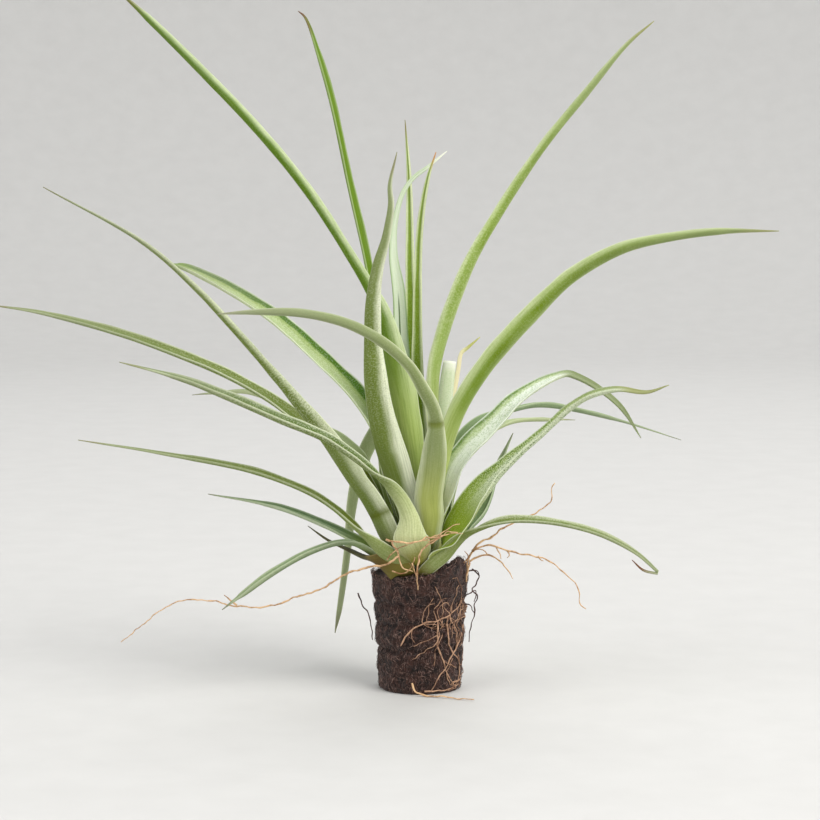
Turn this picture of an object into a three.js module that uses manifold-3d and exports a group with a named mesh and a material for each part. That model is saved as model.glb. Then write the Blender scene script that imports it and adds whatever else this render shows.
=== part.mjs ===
// A young air plant standing in a small fibre plug. Millimetres, +Z up, -Y towards the viewer.
// The origin is the middle of the plug's flat foot.
import * as THREE from "three";
import { mergeVertices } from "three/addons/utils/BufferGeometryUtils.js";
import Module from "manifold-3d";

const wasm = await Module();
wasm.setup();

// Plug
const PLUG_HEIGHT = 23.4;
const PLUG_FOOT_RADIUS = 8.2;
const PLUG_TOP_RADIUS = 9.6;
const PLUG_SIDES = 28;
const PLUG_GROOVES = [8.6, 13.6, 17.8];
const GROOVE_DEPTH = 0.4;
const GROOVE_HALF_HEIGHT = 0.8;
const PLUG_EDGE = 0.6;

// Stem: a short cone that the leaves grow from, over a peg in the plug's hole
const PEG_RADIUS = 4.6;
const PEG_DEPTH = 9;
const CONE_FOOT_RADIUS = 5.7;
const CONE_FOOT_HEIGHT = 23.8;
const CONE_SLOPE = 3.2;
const CONE_TOP_RADIUS = 1.6;
const STEM_SIDES = 20;

// Leaves
const LEAF_THICKNESS = 0.7;
const LEAF_STEPS_ACROSS = 3;
const LEAF_STEPS_PER_SPAN = 2;
const BLADE_CURL = 62;
const TIP_CURL = 85;
const TIGHTEST_ROLL = 0.62;
const LEAST_WIDTH = 0.6;
const WIDEST_CLASP = 72;
// Shares of a leaf's course, counted in its rows from foot to tip, over which a change is spread
const BLADE_OPENS = [0.05, 0.35];
const BLADE_CLOSES = [0.5, 0.9];
const UNDERSIDE_TURNS = [0.12, 0.5];

// Roots
const ROOT_RADIUS = 0.32;
const ROOT_SIDES = 6;
const ROOT_STEPS_PER_POINT = 2.5;
// Height of a root's middle where it lies on the surface that the plug stands on
const FOOT_ROOT_HEIGHT = 0.36;

// Clearance between pieces that touch on the real plant
const GAP = 0.3;
// Corners nearer than this are one corner
const MERGE_WITHIN = 0.001;

// The leaves' courses are drawn as an eye in front of the plant sees them. A point is given as
// [across, depth, up, width]: across and up lie on a plane that faces the eye through AIM, and depth is
// the true distance behind the plug's axis. inPlace puts the point on that line of sight. The foot's
// middle is seen SEEN_FOOT up.
const AIM = new THREE.Vector3(-2, 0, 57.4);
const SEEN_FOOT = 1.2;
const EYE_DISTANCE = 470;
const EYE_ELEVATION = THREE.MathUtils.degToRad(6);

const SEE_UP = new THREE.Vector3(0, Math.sin(EYE_ELEVATION), Math.cos(EYE_ELEVATION));
const EYE = new THREE.Vector3(0, -Math.cos(EYE_ELEVATION), Math.sin(EYE_ELEVATION))
  .multiplyScalar(EYE_DISTANCE)
  .add(AIM);

function inPlace([across, depth, up]) {
  const seen = new THREE.Vector3(across, 0, AIM.z).addScaledVector(SEE_UP, up - AIM.z);
  const sight = seen.sub(EYE);
  const point = sight.multiplyScalar((depth - EYE.y) / sight.y).add(EYE);
  point.z -= SEEN_FOOT;
  return point;
}

// The directions that a blade's underside can face
const DOWN = [0, 0, -1];
const FRONT = [0, -1, 0];
const FRONT_DOWN = [0, -1, -0.9];
const TILTED = [0, 0.4, -1];

// root is [azimuth in degrees, distance from the axis, width]: where the leaf's foot sits on the stem.
// Azimuth 0 is to the right and -90 is towards the viewer. under is where the blade's underside faces,
// and turns, where it is given, is where the blade turns to face so, instead of UNDERSIDE_TURNS.
// The leaves run from the outermost and lowest to the innermost.
const LEAVES = {
  leaf_dry_left: {
    root: [-112, 5.8, 3],
    under: DOWN,
    course: [
      [-4.4, -8.6, 25.4, 6],
      [-7.4, -7.2, 26.8, 4.8],
      [-9.6, -5.2, 27.8, 2.4],
      [-11.4, -3.6, 28.2, 1.4],
      [-14, -1.4, 29.4, 1.2],
      [-18.4, 1, 31.4, 0.8],
      [-22.4, 3, 34.2, 0.6],
    ],
  },
  leaf_low_right: {
    root: [-88, 5.8, 2],
    under: TILTED,
    course: [
      [0.8, -8.2, 24.9, 2.6],
      [2.6, -9.4, 26.6, 3],
      [4.6, -10, 28.2, 3],
      [6.8, -10.8, 30.6, 2.7],
      [9, -11.4, 32.4, 2.4],
      [12.2, -12.6, 34, 2.3],
      [15.4, -13.8, 35.1, 2.2],
      [19.2, -15, 35.6, 2.2],
      [27.8, -18, 34.9, 1.9],
      [36.4, -21, 32.6, 1.6],
      [43.4, -23, 28.8, 1.1],
      [46.6, -23.8, 26, 0.8],
      [47.7, -24.1, 24.8, 0.6],
      [46.4, -24.4, 24.9, 0.6],
      [44.6, -24.8, 25.4, 0.6],
      [42.4, -25.4, 27.4, 0.6],
    ],
  },
  leaf_down_left: {
    root: [-160, 5.8, 2.2],
    under: DOWN,
    course: [
      [-7.8, -3.4, 27.2, 2.6],
      [-10.4, -3.2, 29.4, 2.6],
      [-13.2, -3.2, 30.9, 2.4],
      [-16.8, -3.6, 30.9, 2.4],
      [-23.2, -5, 28.6, 2.4],
      [-29.2, -7, 25.2, 2.1],
      [-34.8, -9, 21.2, 1.6],
      [-39.6, -11, 17.4, 0.6],
    ],
  },
  leaf_lower_left: {
    root: [-104, 5.5, 2],
    under: TILTED,
    course: [
      [-3.4, -8.8, 26.8, 3],
      [-7.6, -8.8, 29.4, 3.4],
      [-11.8, -8.8, 33.2, 2.9],
      [-16.8, -9.4, 37.7, 2.2],
      [-22.4, -10.6, 41.2, 2],
      [-33.6, -14, 45.4, 1.7],
      [-50.4, -19, 48.6, 1.1],
      [-68.4, -25, 51.4, 0.6],
    ],
  },
  leaf_blue_left: {
    root: [174, 5.3, 2.2],
    under: TILTED,
    course: [
      [-7.2, 0.2, 27.6, 2.8],
      [-9.8, 1.2, 29.6, 2.7],
      [-12.8, 3.4, 31.5, 2.4],
      [-18.2, 8.8, 34.2, 2.1],
      [-28, 18.6, 38, 1.5],
      [-42.4, 34, 40.6, 0.6],
    ],
  },
  leaf_drooping: {
    root: [128, 5.5, 2.4],
    under: [-0.4, 1, -0.4],
    course: [
      [-4.8, 6.6, 29, 4],
      [-6.2, 8.8, 36, 4.8],
      [-6.6, 11, 47, 4.2],
      [-7.6, 15, 53.6, 3.6],
      [-10.6, 19, 50, 3.2],
      [-13.4, 22, 40.2, 2.2],
      [-14.6, 25, 28.6, 1.5],
      [-16.2, 26.5, 17, 1],
      [-17, 27, 12.8, 0.6],
    ],
  },
  leaf_small_right: {
    root: [40, 5.6, 2.2],
    under: [0.6, 0.4, -1],
    course: [
      [4.8, 3, 27.8, 2.6],
      [6.8, 2.6, 31, 2.8],
      [9.6, 3.2, 34, 2.8],
      [12, 4.4, 36.4, 2.8],
      [13.9, 6.4, 39.6, 2.4],
      [15.2, 9.4, 43.4, 1.8],
      [16.4, 12.4, 48, 1.2],
      [18.6, 15, 52.8, 0.6],
    ],
  },
  leaf_low_front_left: {
    root: [-93, 5.2, 2],
    under: TILTED,
    turns: [0.46, 0.68],
    course: [
      [-0.5, -8.4, 27.2, 3.8],
      [-1, -9.8, 29.2, 7],
      [-1.9, -10.8, 31.4, 7.7],
      [-2, -11.2, 33.4, 5.4],
      [-2.1, -11.7, 35.4, 3.8],
      [-2.7, -12.2, 37.4, 3.3],
      [-4, -12.6, 39.8, 2.9],
      [-6.4, -13.2, 42.6, 2.8],
      [-9.8, -14.4, 45.6, 3],
      [-18.2, -18, 51.6, 3.3],
      [-27.6, -21, 55.6, 3],
      [-37.8, -24, 60, 2.5],
      [-47.4, -27, 63.7, 1.6],
      [-60.2, -30, 67, 0.6],
    ],
  },
  leaf_front_right: {
    root: [-52, 5.2, 2.4],
    under: [0.3, 0.5, -1],
    turns: [0.02, 0.16],
    course: [
      [3.4, -8.2, 28.6, 4.8],
      [6, -9, 32.2, 8],
      [8.6, -9.8, 36, 8.4],
      [11.5, -10.6, 40.3, 7.2],
      [14.6, -11.6, 44, 5.5],
      [17.6, -13, 47, 4.4],
      [20.6, -14.4, 49.7, 3.5],
      [23.8, -15.8, 52.4, 2.8],
      [26.8, -17, 55.2, 2.5],
      [30, -18.6, 58, 2.2],
      [34, -20.6, 60.4, 1.7],
      [39.6, -23, 61.6, 1.3],
      [45.4, -25.4, 61, 0.9],
      [49.8, -27, 62.4, 0.6],
    ],
  },
  leaf_far_right: {
    root: [68, 5.3, 2.6],
    under: DOWN,
    course: [
      [3.2, 7.6, 30, 3.8],
      [4.8, 10.6, 38, 4],
      [7.6, 14, 46.4, 3],
      [11.6, 20, 51.6, 2.2],
      [15.8, 27, 54.2, 1.7],
      [19.4, 33, 55.4, 1.4],
      [26, 40, 55.6, 1.1],
      [31, 46, 55.4, 0.6],
    ],
  },
  leaf_back_right: {
    root: [36, 5, 2.6],
    under: DOWN,
    course: [
      [4.8, 4.6, 31, 3.8],
      [5.7, 6.6, 39, 3.4],
      [7.2, 8.4, 49.6, 3],
      [11, 11.6, 54.8, 2.6],
      [19.2, 18.4, 57.8, 2.1],
      [24.4, 22, 58.6, 1.9],
      [36.4, 30, 56.4, 1.3],
      [52.2, 38, 51.4, 0.6],
    ],
  },
  leaf_big_left: {
    root: [-126, 4.8, 2.4],
    under: FRONT_DOWN,
    course: [
      [-4.6, -7, 29, 3.8],
      [-6.6, -7.4, 33.2, 5.4],
      [-8.2, -7.6, 36.6, 5],
      [-10.2, -7.8, 39.8, 4.6],
      [-12.9, -8.4, 43.6, 4.7],
      [-16.6, -9.4, 49.2, 4.7],
      [-21, -10.8, 54.9, 3.5],
      [-23.9, -11.7, 58.3, 2.8],
      [-27.2, -12.6, 62.3, 2.2],
      [-29.6, -13.3, 65, 2],
      [-31.2, -13.8, 66.9, 1.6],
      [-34, -14.6, 70.1, 1.5],
      [-38, -15.7, 74.6, 1.4],
      [-44.2, -17.3, 81.2, 1.2],
      [-55.2, -20, 90.8, 1],
      [-75.4, -24, 102, 0.6],
    ],
  },
  leaf_arching: {
    root: [-80, 4.6, 2.4],
    under: FRONT,
    course: [
      [1.4, -7.8, 31, 4.2],
      [2, -8.8, 35.4, 5.8],
      [1.8, -9.6, 39.6, 6],
      [2.3, -10.4, 43.6, 5.6],
      [2.8, -11.4, 47.6, 5.1],
      [3.1, -12.4, 51.6, 4.2],
      [3.2, -13, 54, 3.2],
      [2.7, -14.2, 57.4, 2.8],
      [0.6, -16, 61.6, 2.4],
      [-2.2, -17.6, 66.2, 2.1],
      [-7.8, -19, 71.2, 2],
      [-14.8, -20, 74.8, 1.8],
      [-23.8, -21, 76.8, 1.5],
      [-32.8, -21.6, 77, 1.1],
      [-40.6, -22, 76.6, 0.6],
    ],
  },
  leaf_silver: {
    root: [-34, 4.7, 2.8],
    under: [0.4, 0.6, -0.7],
    turns: [0.02, 0.2],
    course: [
      [3.4, -5, 31, 4],
      [4.8, -5.6, 38, 4.8],
      [6.6, -6, 45.4, 5.4],
      [9.8, -6, 50, 5.4],
      [12.8, -5.6, 53, 5],
      [16, -4.8, 56.2, 4.4],
      [18.2, -4, 58.6, 3.8],
      [20.6, -3, 60.6, 3.5],
      [23.8, -1.8, 62.6, 2.9],
      [26.8, -0.6, 64, 2],
      [29.4, 0.8, 64.7, 1.6],
      [31.2, 1.2, 64.2, 1.4],
      [35.4, 2, 62, 1.2],
      [40.2, 3, 58, 1],
      [44.2, 4, 51.8, 0.6],
    ],
  },
  leaf_hidden_left: {
    root: [163, 4.6, 2.6],
    under: DOWN,
    course: [
      [-5.6, 1.8, 31.6, 3.8],
      [-8.6, 3, 40, 4.4],
      [-13, 7.4, 49, 3.2],
      [-24, 18, 56.4, 2.1],
      [-33.8, 28, 61, 1.4],
      [-41.6, 35, 60.8, 0.9],
      [-45.6, 38, 60.4, 0.6],
    ],
  },
  leaf_long_left: {
    root: [-178, 4.3, 2.6],
    under: TILTED,
    course: [
      [-5, -1, 31.6, 4.2],
      [-7.6, -1.4, 38.4, 4.8],
      [-13.6, -2.6, 47.6, 3.6],
      [-22.4, -2, 54.2, 3.3],
      [-28.8, -1, 59, 3.2],
      [-37.8, 0.6, 64.2, 3],
      [-48, 2.6, 68.6, 2.5],
      [-60.4, 5, 73, 1.8],
      [-76.2, 8, 77, 1.1],
      [-86, 10, 78.4, 0.6],
    ],
  },
  leaf_front: {
    root: [-108, 4, 2.6],
    under: FRONT,
    course: [
      [-1.8, -6.4, 35, 5],
      [-3.4, -7, 41, 6.1],
      [-5.2, -7.8, 47, 6.3],
      [-6.6, -8.4, 51.4, 5.8],
      [-8, -9.4, 57.4, 5.3],
      [-9, -10.4, 65, 4.4],
      [-9.5, -11.2, 73, 3.4],
      [-9.3, -12, 80, 2.9],
      [-8.4, -12.2, 86, 2.2],
      [-6.8, -12.4, 91.8, 1.5],
      [-5.8, -12.6, 98.4, 1.1],
      [-6, -12.6, 102.4, 0.8],
      [-4.6, -12.6, 109, 0.6],
    ],
  },
  leaf_upper_right: {
    root: [-46, 3.9, 2.8],
    under: [0.4, -1, -0.5],
    course: [
      [3.2, -4.8, 37, 4],
      [4.2, -5.2, 44.4, 4.4],
      [5.2, -5.8, 50.6, 4.5],
      [7.6, -6.4, 57.2, 4.6],
      [12.9, -7.8, 65.8, 4.5],
      [16.6, -9, 70.3, 4.3],
      [20.6, -10.2, 74.7, 4],
      [30.2, -13, 84, 3.4],
      [40.2, -16, 89.6, 2.5],
      [50.2, -18, 92, 1.8],
      [60.8, -19.4, 93.2, 1.2],
      [71.8, -20.4, 93.2, 0.6],
    ],
  },
  leaf_back_left: {
    root: [148, 4.1, 2.6],
    under: [0, 0.5, -1],
    course: [
      [-3.8, 3, 35, 4.4],
      [-6.2, 4.4, 44, 5.2],
      [-8.2, 6, 53.4, 5.2],
      [-12.6, 8, 60.4, 4.6],
      [-17.8, 10.4, 65.8, 3.9],
      [-22.4, 13.4, 70.1, 3.9],
      [-28.6, 18.8, 75.5, 3.7],
      [-36.6, 26, 80.8, 3],
      [-42.6, 31.4, 84, 2.5],
      [-47.6, 35.6, 86.2, 1.6],
      [-50.6, 38, 86.6, 0.6],
    ],
  },
  leaf_cut_stub: {
    root: [14, 3.8, 2.4],
    under: [0.3, -1, 0],
    course: [
      [3.8, 2, 40, 3],
      [4.7, 2.8, 50, 3.1],
      [5.1, 3.4, 59.4, 3],
      [6, 4.2, 67.2, 2.4],
    ],
  },
  leaf_dry_strip: {
    root: [38, 4.1, 1.4],
    under: [0.5, -1, 0],
    course: [
      [4.8, 4.4, 42, 1.5],
      [6.4, 6.2, 58, 1.1],
      [7.6, 7.2, 65.4, 0.9],
      [8.3, 7.6, 68.9, 0.8],
      [9.3, 7.9, 69.7, 0.7],
      [12, 8.6, 72, 0.6],
    ],
  },
  leaf_tall_right: {
    root: [-22, 3.2, 2.8],
    under: [0.7, -1, -0.2],
    course: [
      [2.4, -2, 40, 4.2],
      [2.9, -1.8, 48, 4.8],
      [2.6, -1.2, 58, 4.4],
      [2.9, -0.6, 65.4, 3.8],
      [4.4, 0, 71.8, 3.3],
      [6.9, 0.6, 79.4, 3.1],
      [10.4, 1.8, 87.6, 2.8],
      [16.2, 3.6, 97.6, 2.3],
      [24.6, 5.6, 110.2, 1.8],
      [33, 7.6, 120.6, 1.4],
      [41.4, 9.4, 130.6, 0.9],
      [46.8, 10.4, 135.2, 0.6],
    ],
  },
  leaf_tall_left: {
    root: [-98, 3.1, 2.6],
    under: [-0.4, -1, -0.2],
    course: [
      [-0.8, -4.4, 38, 4.6],
      [-1.6, -4.8, 46, 5.6],
      [-2.7, -5, 54, 6.2],
      [-4, -5, 62, 6],
      [-5.7, -4.6, 70, 4.7],
      [-7.6, -3.6, 77, 3.3],
      [-10, -2, 81.6, 2.5],
      [-12.2, -1, 85.4, 2.2],
      [-21.5, 3, 100, 2.1],
      [-31.8, 8, 112.8, 1.9],
      [-44.2, 14, 125.8, 1.7],
      [-54.8, 19, 136.2, 1.2],
      [-61, 22, 141.8, 0.6],
    ],
  },
  leaf_upper_left: {
    root: [178, 3.3, 2.2],
    under: [-0.7, 0.6, -0.2],
    course: [
      [-3.8, 0.4, 38, 3.4],
      [-4.8, 1.4, 48, 4],
      [-6.2, 3.4, 60, 3.4],
      [-8.6, 6, 76, 2.4],
      [-10.4, 8, 87, 2],
      [-14.2, 13.6, 103.8, 1.8],
      [-17.6, 20, 119.6, 1.5],
      [-20.4, 24.4, 129.2, 1.1],
      [-23, 27.6, 136, 0.7],
      [-24.4, 28.4, 137.2, 0.6],
    ],
  },
  leaf_centre_c: {
    root: [118, 3.2, 2.2],
    under: [-0.5, 1, 0],
    course: [
      [-1.8, 3.2, 40, 3.4],
      [-2.8, 4.6, 52, 3.8],
      [-3.8, 5.6, 70, 3.2],
      [-4.4, 6.4, 81.4, 2.6],
      [-5.4, 7.6, 88.8, 1.8],
      [-5, 8.8, 95, 1.1],
      [-3.4, 9.8, 100.8, 0.9],
      [-1.2, 10.8, 103.9, 0.8],
      [1.6, 12, 106, 0.7],
      [5.4, 13, 109.2, 0.6],
    ],
  },
  leaf_centre_a: {
    root: [66, 3.4, 2],
    under: [0.2, 1, 0],
    course: [
      [1, 4.6, 40, 3],
      [0.4, 6.6, 52, 3],
      [-1.6, 9, 67.8, 2.3],
      [-2, 12.4, 84.8, 1.6],
      [-2.2, 18.6, 103.2, 1],
      [-3, 23.4, 115.4, 0.6],
    ],
  },
  leaf_centre_b: {
    root: [90, 2.3, 1.8],
    under: [0.4, 1, 0],
    course: [
      [0, 2, 40, 2.6],
      [0, 2.4, 52, 2.8],
      [-0.4, 3, 64.6, 2.5],
      [-0.5, 4, 75, 1.9],
      [-0.2, 6, 91, 1.3],
      [0.4, 7, 97.4, 1.1],
      [1.6, 7.8, 104, 0.8],
      [3.2, 8.4, 109, 0.6],
    ],
  },
};
const DRY_LEAVES = ["leaf_dry_left", "leaf_dry_strip", "leaf_cut_stub"];

// Free roots, drawn as the leaves are: rows of [across, depth, up]
const FRONT_ROOTS = [
  // the long root to the left
  [
    [-4.2, -11, 28.2],
    [-6, -10.6, 27],
    [-8.2, -9.6, 26.2],
    [-10.6, -8.6, 25.9],
    [-15, -6.6, 24.5],
    [-19.8, -5, 21.6],
    [-24.8, -4, 20],
    [-29.8, -3, 18.2],
    [-37, -2, 18.2],
    [-41.4, -1, 19.2],
    [-48, 0, 19.2],
    [-52.6, 1, 16.8],
    [-56, 2, 14],
    [-59.8, 3, 11],
  ],
  [
    [-36.6, -2.1, 18.3],
    [-38, -2.4, 19.4],
    [-39.2, -2.6, 20.4],
  ],
  // round the front of the lowest leaves
  [
    [-6.8, -11.4, 31.5],
    [-5.6, -12, 31.1],
    [-3.6, -12.6, 30.9],
    [-0.8, -12.8, 31],
    [1.6, -12.8, 31.9],
    [4, -13, 32],
    [5.6, -13.4, 33.1],
    [7.6, -13.8, 32.9],
  ],
  [
    [-5.6, -12, 31.1],
    [-5, -11.6, 29.6],
    [-4.2, -11, 28.2],
    [-3.6, -10.7, 26],
    [-1.4, -10.8, 25.1],
  ],
  // down over the plug's rim
  [
    [4, -13, 32],
    [1.6, -12, 30.4],
    [0, -11.4, 28.6],
    [-0.4, -11, 26.4],
    [-0.6, -10.6, 24.4],
    [-0.4, -10.5, 21.4],
  ],
];
const RIGHT_ROOTS = [
  [
    [9.3, -4.2, 23],
    [9.5, -4.3, 26.2],
    [10.2, -4.8, 28.8],
    [13.4, -5.2, 30.4],
    [15.8, -5.4, 29.8],
    [21.2, -6.4, 28.4],
    [24, -7, 28],
    [26.4, -7.4, 26.8],
    [28.2, -7.6, 25.4],
    [30.2, -8, 23.6],
    [31.6, -8, 21.8],
    [32.2, -8, 18.4],
    [33.2, -8, 17.6],
  ],
  [
    [9.7, -4.5, 27],
    [12, -4.4, 28.2],
    [13.6, -4.2, 28.4],
    [15.8, -4, 27.4],
    [17.2, -3.8, 25.8],
    [18.6, -3.6, 23.6],
  ],
  [
    [10.4, -4.8, 29.2],
    [12.4, -5.6, 31.2],
    [14.4, -6.2, 32],
    [16.6, -6.8, 33.8],
    [23.4, -7.4, 37],
    [25.4, -7.4, 38.4],
    [26.6, -7.4, 40],
    [26.2, -7.4, 41.8],
    [27, -7.4, 42.8],
  ],
];
const LOOP_ROOTS = [
  [
    [10.4, 0.8, 25.6],
    [11.9, 0.9, 24.2],
    [11.2, 0.6, 22.6],
    [10.4, 0.2, 21.4],
    [11.4, 0, 20.4],
    [11, 0.2, 18.4],
    [10.8, 0.5, 16.2],
    [10.1, 0.4, 14],
    [9.8, 0, 11],
  ],
];
const LEFT_ROOTS = [
  [
    [-12.4, -2, 20.8],
    [-11.8, -2, 19],
    [-10.5, -2, 17],
    [-9.8, -2.2, 14.4],
    [-9.5, -2.6, 11.4],
  ],
];
// A short root that has come out at the foot and lies along the surface: true [x, y, z]
const FOOT_ROOT = [
  [-1.6, -9, 2.6],
  [-1, -9.3, 1],
  [2.4, -10.4, FOOT_ROOT_HEIGHT],
  [5.2, -11.4, FOOT_ROOT_HEIGHT],
  [8, -12.6, FOOT_ROOT_HEIGHT],
  [10.6, -13.6, FOOT_ROOT_HEIGHT],
];
// The net of roots on the plug's front right: rows of [azimuth in degrees, height]
const NET_ROOTS = [
  [
    [-115, 10],
    [-108, 12],
    [-96, 13.8],
    [-82, 14.8],
    [-68, 15.2],
    [-54, 15.8],
    [-40, 17],
    [-28, 18.4],
  ],
  [
    [-68, 15.2],
    [-66, 10],
    [-58, 6.5],
    [-50, 3.8],
    [-34, 1],
  ],
  [
    [-13, 13],
    [-30, 10],
    [-47, 6.8],
    [-62, 3.8],
    [-75, 0.8],
  ],
  [
    [-54, 15.8],
    [-50, 10],
    [-30, 6.2],
    [-24, 3.6],
    [-26, 1.2],
  ],
  [
    [-84, 0.8],
    [-75, 0.8],
    [-50, 0.7],
    [-34, 1],
    [-24, 1.2],
  ],
];

const COLOURS = {
  leaf: { color: 0x8ea65a, roughness: 0.62, metalness: 0 },
  dry_leaf: { color: 0xb89a62, roughness: 0.8, metalness: 0 },
  stem: { color: 0xb4b878, roughness: 0.7, metalness: 0 },
  plug: { color: 0x46372f, roughness: 0.95, metalness: 0 },
  root: { color: 0xc08d58, roughness: 0.75, metalness: 0 },
  dark_root: { color: 0x5a3a30, roughness: 0.8, metalness: 0 },
};

// A closed solid from a geometry, with its shared corners merged.
function solidOf(geometry) {
  const bare = geometry.index ? geometry.toNonIndexed() : geometry.clone();
  bare.deleteAttribute("normal");
  bare.deleteAttribute("uv");
  const merged = mergeVertices(bare, MERGE_WITHIN);
  return new wasm.Manifold(
    new wasm.Mesh({
      numProp: 3,
      vertProperties: merged.attributes.position.array,
      triVerts: new Uint32Array(merged.index.array),
    }),
  );
}

function geometryOf(solid) {
  const mesh = solid.getMesh();
  const geometry = new THREE.BufferGeometry();
  geometry.setAttribute("position", new THREE.BufferAttribute(mesh.vertProperties, 3));
  geometry.setIndex(new THREE.BufferAttribute(mesh.triVerts, 1));
  geometry.computeVertexNormals();
  return geometry;
}

function largestBody(solid) {
  return solid.decompose().reduce((best, body) => (body.volume() > best.volume() ? body : best));
}

// The stem's cone: its height at a distance from the axis
function coneHeight(radius) {
  return CONE_FOOT_HEIGHT + (CONE_FOOT_RADIUS - radius) * CONE_SLOPE;
}

function smooth([from, to], value) {
  const s = THREE.MathUtils.clamp((value - from) / (to - from), 0, 1);
  return s * s * (3 - 2 * s);
}

// A leaf's midrib as a curve, its widths along it, and where its underside faces
function leafPlan({ root, under, turns = UNDERSIDE_TURNS, course }) {
  const [azimuth, radius, footWidth] = root;
  const turn = THREE.MathUtils.degToRad(azimuth);
  const outward = new THREE.Vector3(Math.cos(turn), Math.sin(turn), 0);
  const foot = outward.clone().multiplyScalar(radius);
  foot.z = coneHeight(radius);
  const points = [foot, ...course.map(inPlace)];
  const widths = [footWidth];
  course.forEach((row, i) => {
    const nearness = points[i + 1].distanceTo(EYE) / EYE_DISTANCE;
    widths.push(Math.max(LEAST_WIDTH, row[3] * nearness));
  });
  const widest = Math.sin(THREE.MathUtils.degToRad(WIDEST_CLASP));
  const clasp = Math.asin(Math.min(widest, footWidth / 2 / radius));
  return {
    curve: new THREE.CatmullRomCurve3(points, false, "centripetal"),
    widths,
    outward,
    under: new THREE.Vector3(...under).normalize(),
    turns,
    clasp,
  };
}

// One ring of corners round the leaf's channel-shaped section, at t from 0 (foot) to 1 (tip)
function leafRing(plan, t, grow) {
  const spans = plan.widths.length - 1;
  const span = Math.min(Math.floor(t * spans), spans - 1);
  const width = THREE.MathUtils.lerp(plan.widths[span], plan.widths[span + 1], t * spans - span);
  const middle = plan.curve.getPoint(t);
  const along = plan.curve.getTangent(t);
  const facing = plan.outward.clone().lerp(plan.under, smooth(plan.turns, t));
  const inner = facing.addScaledVector(along, -facing.dot(along)).normalize().negate();
  const side = new THREE.Vector3().crossVectors(inner, along).normalize();

  const half = width / 2;
  const bladeCurl = THREE.MathUtils.degToRad(BLADE_CURL);
  const tipCurl = THREE.MathUtils.degToRad(TIP_CURL);
  let curl = THREE.MathUtils.lerp(plan.clasp, bladeCurl, smooth(BLADE_OPENS, t));
  curl = THREE.MathUtils.lerp(curl, tipCurl, smooth(BLADE_CLOSES, t));
  curl = Math.min(curl, Math.asin(Math.min(1, half / TIGHTEST_ROLL)));
  const roll = half / Math.sin(curl);
  const rise = (roll * (1 - Math.cos(curl))) / 2;
  const reach = curl + grow / roll;
  const thick = LEAF_THICKNESS / 2 + grow;

  const corners = [];
  for (const layer of [-1, 1]) {
    for (let i = 0; i <= LEAF_STEPS_ACROSS; i++) {
      const share = (2 * i) / LEAF_STEPS_ACROSS - 1;
      const angle = -layer * share * reach;
      const distance = roll - layer * thick;
      corners.push(
        middle
          .clone()
          .addScaledVector(inner, roll - rise - distance * Math.cos(angle))
          .addScaledVector(side, distance * Math.sin(angle)),
      );
    }
  }
  return { corners, along };
}

// A leaf as a closed solid. grow makes it fatter all round, to cut room for its clearance.
function leafSolid(plan, grow = 0) {
  const steps = (plan.widths.length - 1) * LEAF_STEPS_PER_SPAN;
  const rings = [];
  for (let i = 0; i <= steps; i++) {
    const { corners, along } = leafRing(plan, i / steps, grow);
    if (i === 0) corners.forEach((corner) => corner.addScaledVector(along, -grow));
    if (i === steps) corners.forEach((corner) => corner.addScaledVector(along, grow));
    rings.push(corners);
  }
  const size = rings[0].length;
  const positions = rings.flat().flatMap((corner) => corner.toArray());
  const faces = [];
  for (let ring = 0; ring < rings.length - 1; ring++) {
    for (let i = 0; i < size; i++) {
      const a = ring * size + i;
      const b = ring * size + ((i + 1) % size);
      faces.push(a, b, b + size, a, b + size, a + size);
    }
  }
  // The two ends are closed by a strip between the outer and the inner face.
  for (const [first, turned] of [
    [0, true],
    [(rings.length - 1) * size, false],
  ]) {
    for (let i = 0; i < LEAF_STEPS_ACROSS; i++) {
      const [a, b] = [first + i, first + i + 1];
      const [c, d] = [first + size - 2 - i, first + size - 1 - i];
      faces.push(...(turned ? [a, d, c, a, c, b] : [a, c, d, a, b, c]));
    }
  }
  const geometry = new THREE.BufferGeometry();
  geometry.setAttribute("position", new THREE.Float32BufferAttribute(positions, 3));
  geometry.setIndex(faces);
  return solidOf(geometry);
}

// The plug: a tapered felt cylinder with three shallow grooves and a hole for the stem's peg
function plugRadius(height) {
  return THREE.MathUtils.lerp(PLUG_FOOT_RADIUS, PLUG_TOP_RADIUS, height / PLUG_HEIGHT);
}

function plugGeometry() {
  const hole = PEG_RADIUS + GAP;
  const holeFloor = PLUG_HEIGHT - PEG_DEPTH - GAP;
  const profile = [
    [0, 0],
    [PLUG_FOOT_RADIUS, 0],
  ];
  for (const groove of PLUG_GROOVES) {
    profile.push([plugRadius(groove - GROOVE_HALF_HEIGHT), groove - GROOVE_HALF_HEIGHT]);
    profile.push([plugRadius(groove) - GROOVE_DEPTH, groove]);
    profile.push([plugRadius(groove + GROOVE_HALF_HEIGHT), groove + GROOVE_HALF_HEIGHT]);
  }
  profile.push([PLUG_TOP_RADIUS, PLUG_HEIGHT - PLUG_EDGE]);
  profile.push([PLUG_TOP_RADIUS - PLUG_EDGE, PLUG_HEIGHT]);
  profile.push([hole, PLUG_HEIGHT], [hole, holeFloor], [0, holeFloor]);
  return turned(profile, PLUG_SIDES);
}

// The room that the plug takes, without its hole
function plugRoom(grow) {
  return [
    [0, 0],
    [PLUG_FOOT_RADIUS + grow, 0],
    [PLUG_TOP_RADIUS + grow, PLUG_HEIGHT - PLUG_EDGE],
    [PLUG_TOP_RADIUS - PLUG_EDGE + grow, PLUG_HEIGHT + grow],
    [0, PLUG_HEIGHT + grow],
  ];
}

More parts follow.
